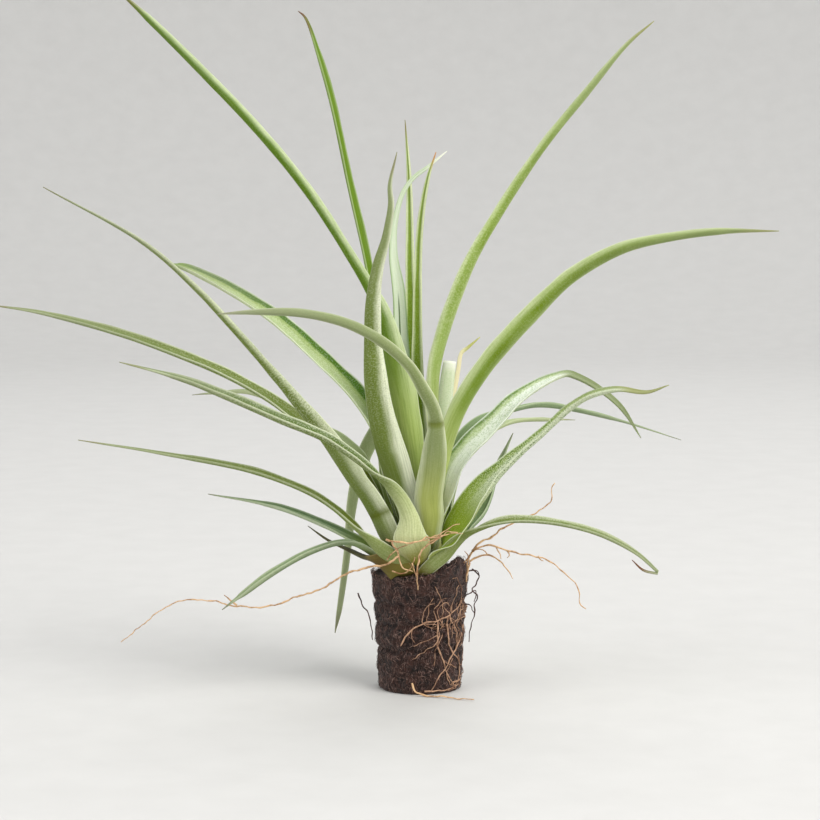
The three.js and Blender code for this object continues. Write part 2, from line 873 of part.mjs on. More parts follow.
function stemProfile(grow) {
  const top = coneHeight(CONE_TOP_RADIUS);
  return [
    [0, PLUG_HEIGHT - PEG_DEPTH - grow],
    [PEG_RADIUS + grow, PLUG_HEIGHT - PEG_DEPTH - grow],
    [PEG_RADIUS + grow, CONE_FOOT_HEIGHT - grow],
    [CONE_FOOT_RADIUS + grow, CONE_FOOT_HEIGHT - grow],
    [CONE_TOP_RADIUS + grow, top + grow / 2],
    [0, top + grow],
  ];
}

// A body turned round the Z axis from a profile of [radius, height] that starts and ends on the axis
function turned(profile, sides) {
  const outline = profile.map(([radius, height]) => new THREE.Vector2(radius, height));
  return new THREE.LatheGeometry(outline, sides).rotateX(Math.PI / 2);
}

// A root: a thin tube along a curve
function rootSolid(points) {
  const curve = new THREE.CatmullRomCurve3(points, false, "centripetal");
  const section = new THREE.Shape().absarc(0, 0, ROOT_RADIUS, 0, 2 * Math.PI);
  const tube = new THREE.ExtrudeGeometry(section, {
    steps: Math.round(points.length * ROOT_STEPS_PER_POINT),
    curveSegments: ROOT_SIDES / 2,
    extrudePath: curve,
  });
  return solidOf(tube);
}

function bunch(courses) {
  return courses.reduce((whole, course) => {
    const root = rootSolid(course);
    return whole ? whole.add(root) : root;
  }, null);
}

// A course on the plug's side, from rows of [azimuth, height]
function onPlug(rows) {
  const clear = GAP + ROOT_RADIUS;
  return rows.map(([azimuth, height]) => {
    const turn = THREE.MathUtils.degToRad(azimuth);
    const radius = plugRadius(height) + clear;
    return new THREE.Vector3(radius * Math.cos(turn), radius * Math.sin(turn), height);
  });
}

const plant = new THREE.Group();

function addPiece(name, solid, look) {
  const mesh = new THREE.Mesh(geometryOf(solid), new THREE.MeshStandardMaterial(COLOURS[look]));
  mesh.name = name;
  plant.add(mesh);
}

addPiece("plug", solidOf(plugGeometry()), "plug");
addPiece("stem", solidOf(turned(stemProfile(0), STEM_SIDES)), "stem");

// Each leaf keeps clear of the stem, the plug and the leaves outside it: they are cut from its foot.
const room = [
  solidOf(turned(stemProfile(GAP), STEM_SIDES)),
  solidOf(turned(plugRoom(GAP), PLUG_SIDES)),
];
for (const [name, leaf] of Object.entries(LEAVES)) {
  const plan = leafPlan(leaf);
  const whole = leafSolid(plan);
  const trimmed = room.reduce((solid, other) => solid.subtract(other), whole);
  room.push(leafSolid(plan, GAP));
  addPiece(name, largestBody(trimmed), DRY_LEAVES.includes(name) ? "dry_leaf" : "leaf");
}

const placed = (courses) => courses.map((course) => course.map(inPlace));
addPiece("roots_front", bunch(placed(FRONT_ROOTS)), "root");
addPiece("roots_right", bunch(placed(RIGHT_ROOTS)), "root");
addPiece("roots_plug_loops", bunch(placed(LOOP_ROOTS)), "dark_root");
addPiece("roots_plug_left", bunch(placed(LEFT_ROOTS)), "dark_root");
addPiece("roots_plug_net", bunch(NET_ROOTS.map(onPlug)), "root");
addPiece("roots_foot", rootSolid(FOOT_ROOT.map((point) => new THREE.Vector3(...point))), "root");

export default plant;
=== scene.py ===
import math
import random

import bpy
import numpy as np
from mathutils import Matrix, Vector, noise


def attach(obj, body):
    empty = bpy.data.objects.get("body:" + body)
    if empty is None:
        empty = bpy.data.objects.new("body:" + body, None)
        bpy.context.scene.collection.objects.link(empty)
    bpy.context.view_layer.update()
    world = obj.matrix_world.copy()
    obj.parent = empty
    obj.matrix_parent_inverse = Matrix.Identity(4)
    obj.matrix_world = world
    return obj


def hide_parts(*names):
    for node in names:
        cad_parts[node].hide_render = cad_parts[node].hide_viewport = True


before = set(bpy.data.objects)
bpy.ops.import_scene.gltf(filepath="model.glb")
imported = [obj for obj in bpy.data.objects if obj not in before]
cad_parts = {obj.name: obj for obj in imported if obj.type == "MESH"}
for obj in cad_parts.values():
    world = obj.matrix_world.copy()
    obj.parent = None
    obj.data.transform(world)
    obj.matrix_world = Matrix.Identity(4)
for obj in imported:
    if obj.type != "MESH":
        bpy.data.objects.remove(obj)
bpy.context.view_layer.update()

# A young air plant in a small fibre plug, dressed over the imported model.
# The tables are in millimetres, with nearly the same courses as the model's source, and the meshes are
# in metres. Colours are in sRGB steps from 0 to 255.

MM = 0.001

# Plug
PLUG_HEIGHT = 23.4
PLUG_FOOT_RADIUS = 8.2
PLUG_TOP_RADIUS = 9.6
PLUG_GROOVES = [8.6, 13.6, 17.8]
GROOVE_DEPTH = 0.55
GROOVE_HALF_HEIGHT = 0.7
GROOVE_SWAY = 0.5
PLUG_SIDES = 200
PLUG_ROWS = 120
PLUG_FIRST_ROW = 0.012
PLUG_FOOT_RINGS = (3, 6, PLUG_FOOT_RADIUS - 0.3)
PLUG_FLOOR = PLUG_HEIGHT - 0.4
FELT_LUMP = 1.9
FELT_RELIEF = 0.26
FELT_FOOT = 0.8
RIM_TEAR = 0.5
HIGH_RIM = 3.9
HIGH_RIM_AZIMUTH = -37
HIGH_RIM_SPREAD = 36
RIM_WALL = 0.75
RIM_PINCH = 0.35
PINCHED_SHARE = 0.03
# The inside of the rim: (share of its wall inwards, share of its height down)
RIM_INSIDE = ((0.5, 0.0), (1.0, 0.4), (1.1, 1.0))
# Painted shade along the creases round the plug: (height, share of the dark shade colour)
PLUG_CREASE_SHADES = ((14.6, 0.9), (19.6, 0.6), (8.6, 0.5))
CREASE_SHADE = (12, 4, 3)
FELT_DARK = (20, 7, 4)
FELT_BROWN = (66, 39, 30)
FELT_THREADS = (142, 112, 104)
FELT_CROSS_THREADS = (106, 82, 76)
# The colour of the painted shade in the felt's hollows
FELT_HOLLOW_SHADE = (18, 8, 6)

# Fibres of the plug's felt
FIBRE_COUNT = 4200
RIM_FIBRE_COUNT = 320
FIBRE_RADIUS = 0.032
FIBRE_STEP = 0.36
FIBRE_WANDER = 0.34
FIBRE_TUCK = 0.06
FIBRE_LOWEST = 0.12
FIBRE_OVER_RIM = 0.5
FIBRE_SEED = 11

# Stem
CONE_FOOT_RADIUS = 5.7
CONE_FOOT_HEIGHT = 23.8
CONE_SLOPE = 3.2
CONE_TOP_RADIUS = 1.6
PEG_RADIUS = 4.6
PEG_FOOT = 14.4
STEM_SIDES = 120
STEM_ROW = 0.2
STEM_INSET = 0.25
STEM_LUMP = 1.6
STEM_RELIEF = 0.15
PEG_ROWS = 12
SCAR_PITCH = 1.5
SCAR_RELIEF = 0.22
SCAR_SWAY = 0.8

# Leaves
BLADE_THICKNESS = 0.72
MARGIN_THINNING = 0.6
SLIM_SHARE = 0.42
SLIM_LEAST = 0.02
SAMPLES_A_SPAN = 60
COLUMNS_ACROSS = 23
ROW_STEP = 0.6
BLADE_CURL = math.radians(62)
TIP_CURL = math.radians(85)
TIGHTEST_ROLL = 0.62
LEAST_WIDTH = 0.6
TIP_WIDTH = 0.14
WIDEST_CLASP = math.radians(72)
WIDTH_BLEND = 4.0
BLADE_OPENS = (0.05, 0.35)
BLADE_CLOSES = (0.5, 0.9)
USUAL_TURNS = (0.12, 0.5)
TWIST = math.radians(5)
TWIST_STARTS = (0.1, 0.4)
WIDTH_WAVE = 0.02
MARGIN_WAVE = 0.1
CREASE_DEPTH = 0.3
CREASE_LENGTH = 0.7

# Roots
ROOT_RADIUS = 0.21
ROOT_END_RADIUS = 0.09
ROOT_KINK = 0.1
ROOT_STEP = 0.4
ROOT_SIDES = 8
ROOT_ON_PLUG = 0.2
ROOT_STRAIGHT_END = 1.5
ROOT_TAPER = 1.3
ROOT_SWELL = 0.16
ROOT_MOTTLE = 0.18
STRAND_END_RADIUS = ROOT_END_RADIUS * 0.8
STRAND_START = (0.3, 0.2, 0.93)
ROOT_SEED = 5
FOOT_ROOT_HEIGHT = 0.34

# The eye in front of the plant, as in the model's source
AIM = np.array([-2.0, 0.0, 57.4])
SEEN_FOOT = 1.2
EYE_DISTANCE = 470.0
EYE_ELEVATION = math.radians(6)
SEE_UP = np.array([0.0, math.sin(EYE_ELEVATION), math.cos(EYE_ELEVATION)])
EYE = AIM + EYE_DISTANCE * np.array([0.0, -math.cos(EYE_ELEVATION), math.sin(EYE_ELEVATION)])

# The camera stands at that eye. The photo is 820 pixels across and shows 0.2 mm a pixel at the aim.
PHOTO_PIXELS = 820
PIXEL_AT_AIM = 0.2
SENSOR_WIDTH = 36.0

# The stage and the lamps, in metres. A lamp is its name, place, size, power and, if not white, its colour.
FLOOR_RADIUS = 0.8
FLOOR_BEND = 0.5
FLOOR_SIDES = 96
BEND_STEPS = 16
WALL_TOP = 1.5
LAMPS = (
    ("key_lamp", (0.6, -0.5, 0.8), 0.7, 11, (1.0, 0.985, 0.96)),
    ("left_lamp", (-0.8, -0.45, 0.55), 0.8, 3.8),
    ("back_lamp", (0.1, 0.65, 0.95), 0.7, 4.5),
)
LAMP_AIM = (0, 0, 0.06)
SKY_COLOUR = (226, 230, 234)
SKY_STRENGTH = 0.75

# The directions that a blade's underside can face
DOWN = (0, 0, -1)
FRONT = (0, -1, 0)
FRONT_DOWN = (0, -1, -0.9)
TILTED = (0, 0.4, -1)

# Each leaf has its root, as (azimuth in degrees, distance from the axis, width), the direction of its
# underside, and its course, as rows of (across, depth, up, width) that are all as the eye sees them.
# The leaves run from the outermost inwards.
LEAVES = {
    "leaf_dry_left": ((-112, 5.8, 3), DOWN, [
        (-4.4, -8.6, 25.4, 6), (-7.4, -7.2, 26.8, 4.8), (-9.6, -5.2, 27.8, 2.4), (-11.4, -3.6, 28.2, 1.4),
        (-14, -1.4, 29.4, 1.2), (-18.4, 1, 31.4, 0.8), (-22.4, 3, 34.2, 0.6),
    ]),
    "leaf_low_right": ((-88, 5.8, 2), TILTED, [
        (0.8, -8.2, 24.9, 2.6), (2.6, -9.4, 26.6, 3), (4.6, -10, 28.2, 3), (6.8, -10.8, 30.6, 2.7),
        (9, -11.4, 32.4, 2.4), (12.2, -12.6, 34, 2.3), (15.4, -13.8, 35.1, 2.2), (19.2, -15, 35.6, 2.2),
        (27.8, -18, 34.9, 1.9), (36.4, -21, 32.6, 1.6), (43.4, -23, 28.8, 1.1), (46.6, -23.8, 26, 0.8),
        (47.7, -24.1, 24.8, 0.6), (46.4, -24.4, 24.9, 0.6), (44.6, -24.8, 25.4, 0.6),
        (42.4, -25.4, 27.4, 0.6),
    ]),
    "leaf_down_left": ((-160, 5.8, 2.2), DOWN, [
        (-7.8, -3.4, 27.2, 2.6), (-10.4, -3.2, 29.4, 2.6), (-13.2, -3.2, 30.9, 2.4),
        (-16.8, -3.6, 30.9, 2.4), (-23.2, -5, 28.6, 2.4), (-29.2, -7, 25.2, 2.1), (-34.8, -9, 21.2, 1.6),
        (-39.6, -11, 17.4, 0.6),
    ]),
    "leaf_lower_left": ((-104, 5.5, 2), TILTED, [
        (-3.4, -8.8, 26.8, 3), (-7.6, -8.8, 29.4, 3.4), (-11.8, -8.8, 33.2, 2.9),
        (-16.8, -9.4, 37.7, 2.2), (-22.4, -10.6, 41.2, 2), (-33.6, -14, 45.4, 1.7),
        (-50.4, -19, 48.6, 1.1), (-68.4, -25, 51.4, 0.6),
    ]),
    "leaf_blue_left": ((174, 5.3, 2.2), TILTED, [
        (-7.2, 0.2, 27.6, 2.8), (-9.8, 1.2, 29.6, 2.7), (-12.8, 3.4, 31.5, 2.4), (-18.2, 8.8, 34.2, 2.1),
        (-28, 18.6, 38, 1.5), (-42.4, 34, 40.6, 0.6),
    ]),
    "leaf_drooping": ((128, 5.5, 2.4), (-0.4, 1, -0.4), [
        (-4.8, 6.6, 29, 4), (-6.2, 8.8, 36, 4.8), (-6.6, 11, 47, 4.2), (-7.6, 15, 53.6, 3.6),
        (-10.6, 19, 50, 3.2), (-13.4, 22, 40.2, 2.2), (-14.6, 25, 28.6, 1.2), (-16.2, 26.5, 17, 1),
        (-17, 27, 12.8, 0.6),
    ]),
    "leaf_small_right": ((40, 5.6, 2.2), (0.6, 0.4, -1), [
        (4.8, 3, 27.8, 2.6), (6.8, 2.6, 31, 2.8), (9.6, 3.2, 34, 2.8), (12, 4.4, 36.4, 2.8),
        (13.6, 6.4, 39.6, 2), (14.7, 9.4, 43.4, 1.5), (16.4, 12.4, 48, 1.2), (18.6, 15, 52.8, 0.6),
    ]),
    "leaf_low_front_left": ((-93, 5.2, 2), TILTED, [
        (-0.5, -8.4, 27.2, 3.8), (-1, -9.8, 29.2, 7), (-1.9, -10.8, 31.4, 7.7), (-2, -11.2, 33.4, 5.4),
        (-2.1, -11.7, 35.4, 3.8), (-2.7, -12.2, 37.4, 3.3), (-4, -12.6, 39.8, 2.9),
        (-6.4, -13.2, 42.6, 2.8), (-9.8, -14.4, 45.6, 3), (-18.2, -18, 51.6, 3.3), (-27.6, -21, 55.6, 3),
        (-37.8, -24, 60, 2.5), (-47.4, -27, 63.7, 1.6), (-60.2, -30, 67, 0.6),
    ]),
    "leaf_front_right": ((-52, 5.2, 2.4), (0.3, 0.5, -1), [
        (3.4, -8.2, 28.6, 4.8), (6, -9, 32.2, 8), (8.6, -9.8, 36, 8.4), (11.5, -10.6, 40.3, 7.2),
        (14.6, -11.6, 44, 5.5), (17.6, -13, 47, 4.4), (20.6, -14.4, 49.7, 3.5), (23.8, -15.8, 52.4, 2.8),
        (26.8, -17, 55.2, 2.5), (30, -18.6, 58, 2.2), (34, -20.6, 60.4, 1.7), (39.6, -23, 61.6, 1.3),
        (45.4, -25.4, 61, 0.9), (49.8, -27, 62.4, 0.6),
    ]),
    "leaf_far_right": ((68, 5.3, 2.6), DOWN, [
        (3.2, 7.6, 30, 3.8), (4.8, 10.6, 38, 4), (7.6, 14, 46.4, 3), (11.6, 20, 51.6, 2.2),
        (15.8, 27, 54.2, 1.7), (19.4, 33, 55.4, 1.4), (26, 40, 55.6, 1.1), (31, 46, 55.4, 0.6),
    ]),
    "leaf_back_right": ((36, 5, 2.6), DOWN, [
        (4.8, 4.6, 31, 3.8), (5.7, 6.6, 39, 3.4), (7.2, 8.4, 49.6, 3), (11, 11.6, 54.8, 2.6),
        (19.2, 18.4, 57.8, 2.1), (24.4, 22, 58.6, 1.9), (36.4, 30, 56.4, 1.3), (52.2, 38, 51.4, 0.6),
    ]),
    "leaf_big_left": ((-126, 4.8, 2.4), FRONT_DOWN, [
        (-4.6, -7, 29, 3.8), (-6.6, -7.4, 33.2, 5.4), (-8.2, -7.6, 36.6, 5), (-10.2, -7.8, 39.8, 4.6),
        (-12.9, -8.4, 43.6, 4.7), (-16.6, -9.4, 49.2, 4.7), (-21, -10.8, 54.9, 3.5),
        (-23.9, -11.7, 58.3, 2.8), (-27.2, -12.6, 62.3, 2.2), (-29.6, -13.3, 65, 2),
        (-31.2, -13.8, 66.9, 1.6), (-34, -14.6, 70.1, 1.5), (-38, -15.7, 74.6, 1.4),
        (-44.2, -17.3, 81.2, 1.2), (-55.2, -20, 90.8, 1), (-75.4, -24, 102, 0.6),
    ]),
    "leaf_arching": ((-80, 4.6, 2.4), FRONT, [
        (1.4, -7.8, 31, 4.2), (2, -8.8, 35.4, 5.8), (1.8, -9.6, 39.6, 6), (2.3, -10.4, 43.6, 5.6),
        (2.8, -11.4, 47.6, 5.1), (3.1, -12.4, 51.6, 4.2), (3.2, -13, 54, 3.2), (2.7, -14.2, 57.4, 2.8),
        (0.6, -16, 61.6, 2.4), (-2.2, -17.6, 66.2, 2.1), (-7.8, -19, 71.2, 2), (-14.8, -20, 74.8, 1.8),
        (-23.8, -21, 76.8, 1.5), (-32.8, -21.6, 77, 1.1), (-40.6, -22, 76.6, 0.6),
    ]),
    "leaf_silver": ((-34, 4.7, 2.8), (0.4, 0.6, -0.7), [
        (3.4, -5, 31, 4), (4.8, -5.6, 38, 4.8), (6.6, -6, 45.4, 5.4), (9.8, -6, 50, 5.4),
        (12.8, -5.6, 53, 5), (16, -4.8, 56.2, 4.4), (18.2, -4, 58.6, 3.8), (20.6, -3, 60.6, 3.5),
        (23.8, -1.8, 62.6, 2.9), (26.8, -0.6, 64, 2), (29.4, 0.8, 64.7, 1.6), (31.2, 1.2, 64.2, 1.4),
        (35.4, 2, 62, 1.2), (40.2, 3, 58, 1), (44.2, 4, 51.8, 0.6),
    ]),
    "leaf_hidden_left": ((163, 4.6, 2.6), DOWN, [
        (-5.6, 1.8, 31.6, 3.8), (-8.6, 3, 40, 4.4), (-13, 7.4, 49, 3.2), (-24, 18, 56.4, 2.1),
        (-33.8, 28, 61, 1.4), (-41.6, 35, 60.8, 0.9), (-45.6, 38, 60.4, 0.6),
    ]),
    "leaf_long_left": ((-178, 4.3, 2.6), TILTED, [
        (-5, -1, 31.6, 4.2), (-7.6, -1.4, 38.4, 4.8), (-13.6, -2.6, 47.6, 3.6), (-22.4, -2, 54.2, 3.3),
        (-28.8, -1, 59, 3.2), (-37.8, 0.6, 64.2, 3), (-48, 2.6, 68.6, 2.5), (-60.4, 5, 73, 1.8),
        (-76.2, 8, 77, 1.1), (-86, 10, 78.4, 0.6),
    ]),
    "leaf_front": ((-108, 4, 2.6), FRONT, [
        (-1.8, -6.4, 35, 5), (-3.4, -7, 41, 6.1), (-5.2, -7.8, 47, 6.3), (-6.6, -8.4, 51.4, 5.8),
        (-8, -9.4, 57.4, 5.3), (-9, -10.4, 65, 4.4), (-9.5, -11.2, 73, 3.4), (-9.3, -12, 80, 2.9),
        (-8.4, -12.2, 86, 2.2), (-6.8, -12.4, 91.8, 1.5), (-5.8, -12.6, 98.4, 1.1),
        (-6, -12.6, 102.4, 0.8), (-4.6, -12.6, 109, 0.6),
    ]),
    "leaf_upper_right": ((-46, 3.9, 2.8), (0.4, -1, -0.5), [
        (3.2, -4.8, 37, 4), (4.2, -5.2, 44.4, 4.4), (5.2, -5.8, 50.6, 4.5), (7.6, -6.4, 57.2, 4.6),
        (12.9, -7.8, 65.8, 4.5), (16.6, -9, 70.3, 4.3), (20.6, -10.2, 74.7, 4), (30.2, -13, 84, 3.4),
        (40.2, -16, 89.6, 2.5), (50.2, -18, 92, 1.8), (60.8, -19.4, 93.2, 1.2), (71.8, -20.4, 93.2, 0.6),
    ]),
    "leaf_back_left": ((148, 4.1, 2.6), (0, 0.5, -1), [
        (-3.8, 3, 35, 4.4), (-6.2, 4.4, 44, 5.2), (-8.2, 6, 53.4, 5.2), (-12.6, 8, 60.4, 4.6),
        (-17.8, 10.4, 65.8, 3.9), (-22.4, 13.4, 70.1, 3.9), (-28.6, 18.8, 75.5, 3.7),
        (-36.6, 26, 80.8, 3), (-42.6, 31.4, 84, 2.5), (-47.6, 35.6, 86.2, 1.6), (-50.6, 38, 86.6, 0.6),
    ]),
    "leaf_cut_stub": ((14, 3.8, 2.4), (0.3, -1, 0), [
        (3.8, 2, 40, 3), (4.7, 2.8, 50, 3.1), (5.1, 3.4, 59.4, 3), (6, 4.2, 67.2, 2.4),
    ]),
    "leaf_dry_strip": ((38, 4.1, 1.4), (0.5, -1, 0), [
        (4.8, 4.4, 42, 1.5), (6.4, 6.2, 58, 1.1), (7.6, 7.2, 65.4, 0.9), (8.3, 7.6, 68.9, 0.8),
        (9.3, 7.9, 69.7, 0.7), (12, 8.6, 72, 0.6),
    ]),
    "leaf_tall_right": ((-22, 3.2, 2.8), (0.7, -1, -0.2), [
        (2.4, -2, 40, 4.2), (2.9, -1.8, 48, 4.8), (2.6, -1.2, 58, 4.4), (2.9, -0.6, 65.4, 3.8),
        (4.4, 0, 71.8, 3.3), (6.9, 0.6, 79.4, 3.1), (10.4, 1.8, 87.6, 2.8), (16.2, 3.6, 97.6, 2.3),
        (24.6, 5.6, 110.2, 1.8), (33, 7.6, 120.6, 1.4), (41.4, 9.4, 130.6, 0.9), (46.8, 10.4, 135.2, 0.6),
    ]),
    "leaf_tall_left": ((-98, 3.1, 2.6), (-0.4, -1, -0.2), [
        (-0.8, -4.4, 38, 4.6), (-1.6, -4.8, 46, 5.6), (-2.7, -5, 54, 6.2), (-4, -5, 62, 6),
        (-5.7, -4.6, 70, 4.7), (-7.6, -3.6, 77, 3.3), (-10, -2, 81.6, 2.5), (-12.2, -1, 85.4, 2.2),
        (-21.5, 3, 100, 2.1), (-31.8, 8, 112.8, 1.9), (-44.2, 14, 125.8, 1.7), (-54.8, 19, 136.2, 1.2),
        (-61, 22, 141.8, 0.6),
    ]),
    "leaf_upper_left": ((178, 3.3, 2.2), (-0.7, 0.6, -0.2), [
        (-3.8, 0.4, 38, 3.4), (-4.8, 1.4, 48, 4), (-6.2, 3.4, 60, 3.4), (-8.6, 6, 76, 2.4),
        (-10.4, 8, 87, 2), (-14.2, 13.6, 103.8, 1.8), (-17.6, 20, 119.6, 1.5), (-20.4, 24.4, 129.2, 1.1),
        (-23, 27.6, 136, 0.7), (-24.4, 28.4, 137.2, 0.6),
    ]),
    "leaf_centre_c": ((118, 3.2, 2.2), (-0.5, 1, 0), [
        (-1.8, 3.2, 40, 3.4), (-2.8, 4.6, 52, 3.8), (-3.8, 5.6, 70, 3.2), (-4.4, 6.4, 81.4, 2.6),
        (-5.4, 7.6, 88.8, 1.8), (-5, 8.8, 95, 1.1), (-3.4, 9.8, 100.8, 0.9), (-1.2, 10.8, 103.9, 0.8),
        (1.6, 12, 106, 0.7), (5.4, 13, 109.2, 0.6),
    ]),
    "leaf_centre_a": ((66, 3.4, 2), (0.2, 1, 0), [
        (1, 4.6, 40, 3), (0.4, 6.6, 52, 3), (-1.6, 9, 67.8, 2.3), (-2, 12.4, 84.8, 1.6),
        (-2.2, 18.6, 103.2, 1), (-3, 23.4, 115.4, 0.6),
    ]),
    "leaf_centre_b": ((90, 2.3, 1.8), (0.4, 1, 0), [
        (0, 2, 40, 2.6), (0, 2.4, 52, 2.8), (-0.4, 3, 64.6, 2.5), (-0.5, 4, 75, 1.9), (-0.2, 6, 91, 1.3),
        (0.4, 7, 97.4, 1.1), (1.6, 7.8, 104, 0.8), (3.2, 8.4, 109, 0.6),
    ]),
}

# The shares of the course between which a blade's underside turns its way, where they aren't usual
TURNS = {
    "leaf_low_front_left": (0.46, 0.68),
    "leaf_front_right": (0.02, 0.16),
    "leaf_silver": (0.02, 0.2),
}

# What a living blade fades to towards its tip, and the painted shade in a slit
FADED = (148, 154, 126)
SLIT_SHADE = (40, 66, 16)
# The shares of the length over which a sheath's foot gives way to the sheath, and that to the blade
SHEATH_RISES = (0.03, 0.1)
SHEATH_OPENS = (0.13, 0.32)
# Each leaf's noise starts this far from that of the leaf before it
NOISE_STEP = 7.3

# The colours of a leaf. under and top are the two faces of the blade, stripe is the band down the middle
# of the underside, deep is the far side of the upper face, inner is the upper face inside the sheath,
# foot is the lowest part of the sheath, and tip is a withered tip. The dark olive inners are that face's
# own colour darkened with painted shade, since it lies deep between the sheaths, and they also paint the
# shade in a fold.
LOOKS = {
    "olive": {
        "under": (112, 128, 58), "top": (106, 120, 52), "deep": (88, 106, 20),
        "inner": (92, 104, 4), "stripe": (90, 108, 34), "margin": (226, 231, 204),
        "sheath": (136, 148, 88), "foot": (108, 98, 40), "tip": (132, 130, 96),
    },
    "grey": {
        "under": (138, 149, 104), "top": (132, 148, 92), "inner": (98, 110, 4),
        "stripe": (108, 124, 60), "margin": (214, 220, 186), "sheath": (164, 172, 92),
        "foot": (134, 132, 46), "tip": (150, 152, 126),
    },
    "bright": {
        "under": (116, 142, 34), "top": (114, 140, 28), "inner": (112, 136, 8),
        "stripe": (82, 112, 2), "margin": (214, 222, 180), "sheath": (154, 172, 76),
        "foot": (128, 126, 40), "tip": (120, 110, 60),
    },
    "neck": {
        "under": (106, 122, 52), "top": (110, 128, 54), "deep": (68, 92, 10),
        "inner": (98, 110, 4), "stripe": (84, 106, 30), "margin": (222, 228, 200),
        "sheath": (204, 211, 158), "foot": (140, 136, 52), "tip": (132, 134, 96),
    },
    "glass": {
        "under": (224, 232, 204), "top": (220, 228, 200), "inner": (170, 190, 110),
        "stripe": (168, 194, 124), "margin": (238, 242, 224), "sheath": (180, 196, 120),
        "foot": (134, 140, 62), "tip": (240, 242, 228),
    },
    "fresh": {
        "under": (204, 215, 180), "top": (156, 176, 96), "deep": (112, 138, 14),
        "inner": (130, 152, 20), "stripe": (94, 120, 58), "margin": (220, 228, 200),
        "sheath": (166, 180, 92), "foot": (128, 126, 40),
    },
    "striped": {
        "under": (164, 184, 110), "top": (134, 160, 76), "inner": (110, 134, 24),
        "stripe": (104, 130, 4), "margin": (222, 226, 196), "sheath": (186, 198, 124),
        "foot": (134, 138, 56), "tip": (150, 150, 100),
    },
    "silver": {
        "under": (204, 214, 178), "top": (186, 202, 154), "deep": (78, 114, 4),
        "inner": (224, 230, 180), "stripe": (132, 158, 96), "margin": (228, 234, 222),
        "sheath": (204, 214, 146), "foot": (134, 136, 56),
    },
    "vivid": {
        "under": (96, 126, 20), "top": (92, 122, 12), "inner": (116, 138, 24),
        "stripe": (74, 106, 0), "margin": (206, 216, 176), "sheath": (162, 180, 98),
        "foot": (128, 126, 40), "tip": (120, 110, 60),
    },
    "banded": {
        "under": (190, 204, 150), "top": (168, 188, 116), "deep": (68, 112, 2),
        "inner": (140, 162, 60), "stripe": (112, 142, 58), "margin": (230, 236, 212),
        "sheath": (190, 204, 132), "foot": (134, 136, 56), "tip": (130, 150, 90),
    },
    "mint": {
        "under": (200, 210, 184), "top": (206, 216, 194), "inner": (176, 194, 130),
        "stripe": (158, 184, 126), "margin": (112, 150, 68), "sheath": (186, 200, 138),
        "foot": (134, 140, 62), "tip": (232, 234, 216),
    },
    "blue": {
        "under": (130, 150, 110), "top": (116, 138, 94), "deep": (66, 94, 52),
        "inner": (84, 104, 26), "stripe": (98, 120, 76), "margin": (196, 206, 176),
        "sheath": (132, 146, 82), "foot": (98, 94, 40), "tip": (120, 124, 98),
    },
    "pale": {
        "under": (180, 192, 138), "top": (160, 174, 124), "inner": (100, 116, 36),
        "stripe": (130, 148, 98), "margin": (206, 214, 184), "sheath": (148, 160, 96),
        "foot": (106, 100, 46), "tip": (136, 138, 108),
    },
    "dry": {
        "under": (102, 92, 42), "top": (90, 78, 36), "inner": (84, 74, 28),
        "stripe": (82, 60, 32), "margin": (160, 138, 88), "sheath": (112, 106, 44),
        "foot": (84, 66, 30),
    },
    "straw": {
        "under": (236, 228, 190), "top": (216, 206, 160), "inner": (170, 158, 96),
        "stripe": (204, 190, 138), "margin": (240, 236, 210), "sheath": (230, 226, 198),
        "foot": (190, 182, 140),
    },
}
BROWN_TIP = (104, 58, 42)
ORANGE_TIP = (186, 126, 70)
STRAW_TIP = (178, 180, 98)


def coat(look, stripe, frost, **more):
    """The paint of one leaf, as its finish reads it."""
    return {"look": look, "stripe": stripe, "frost": frost, **more}
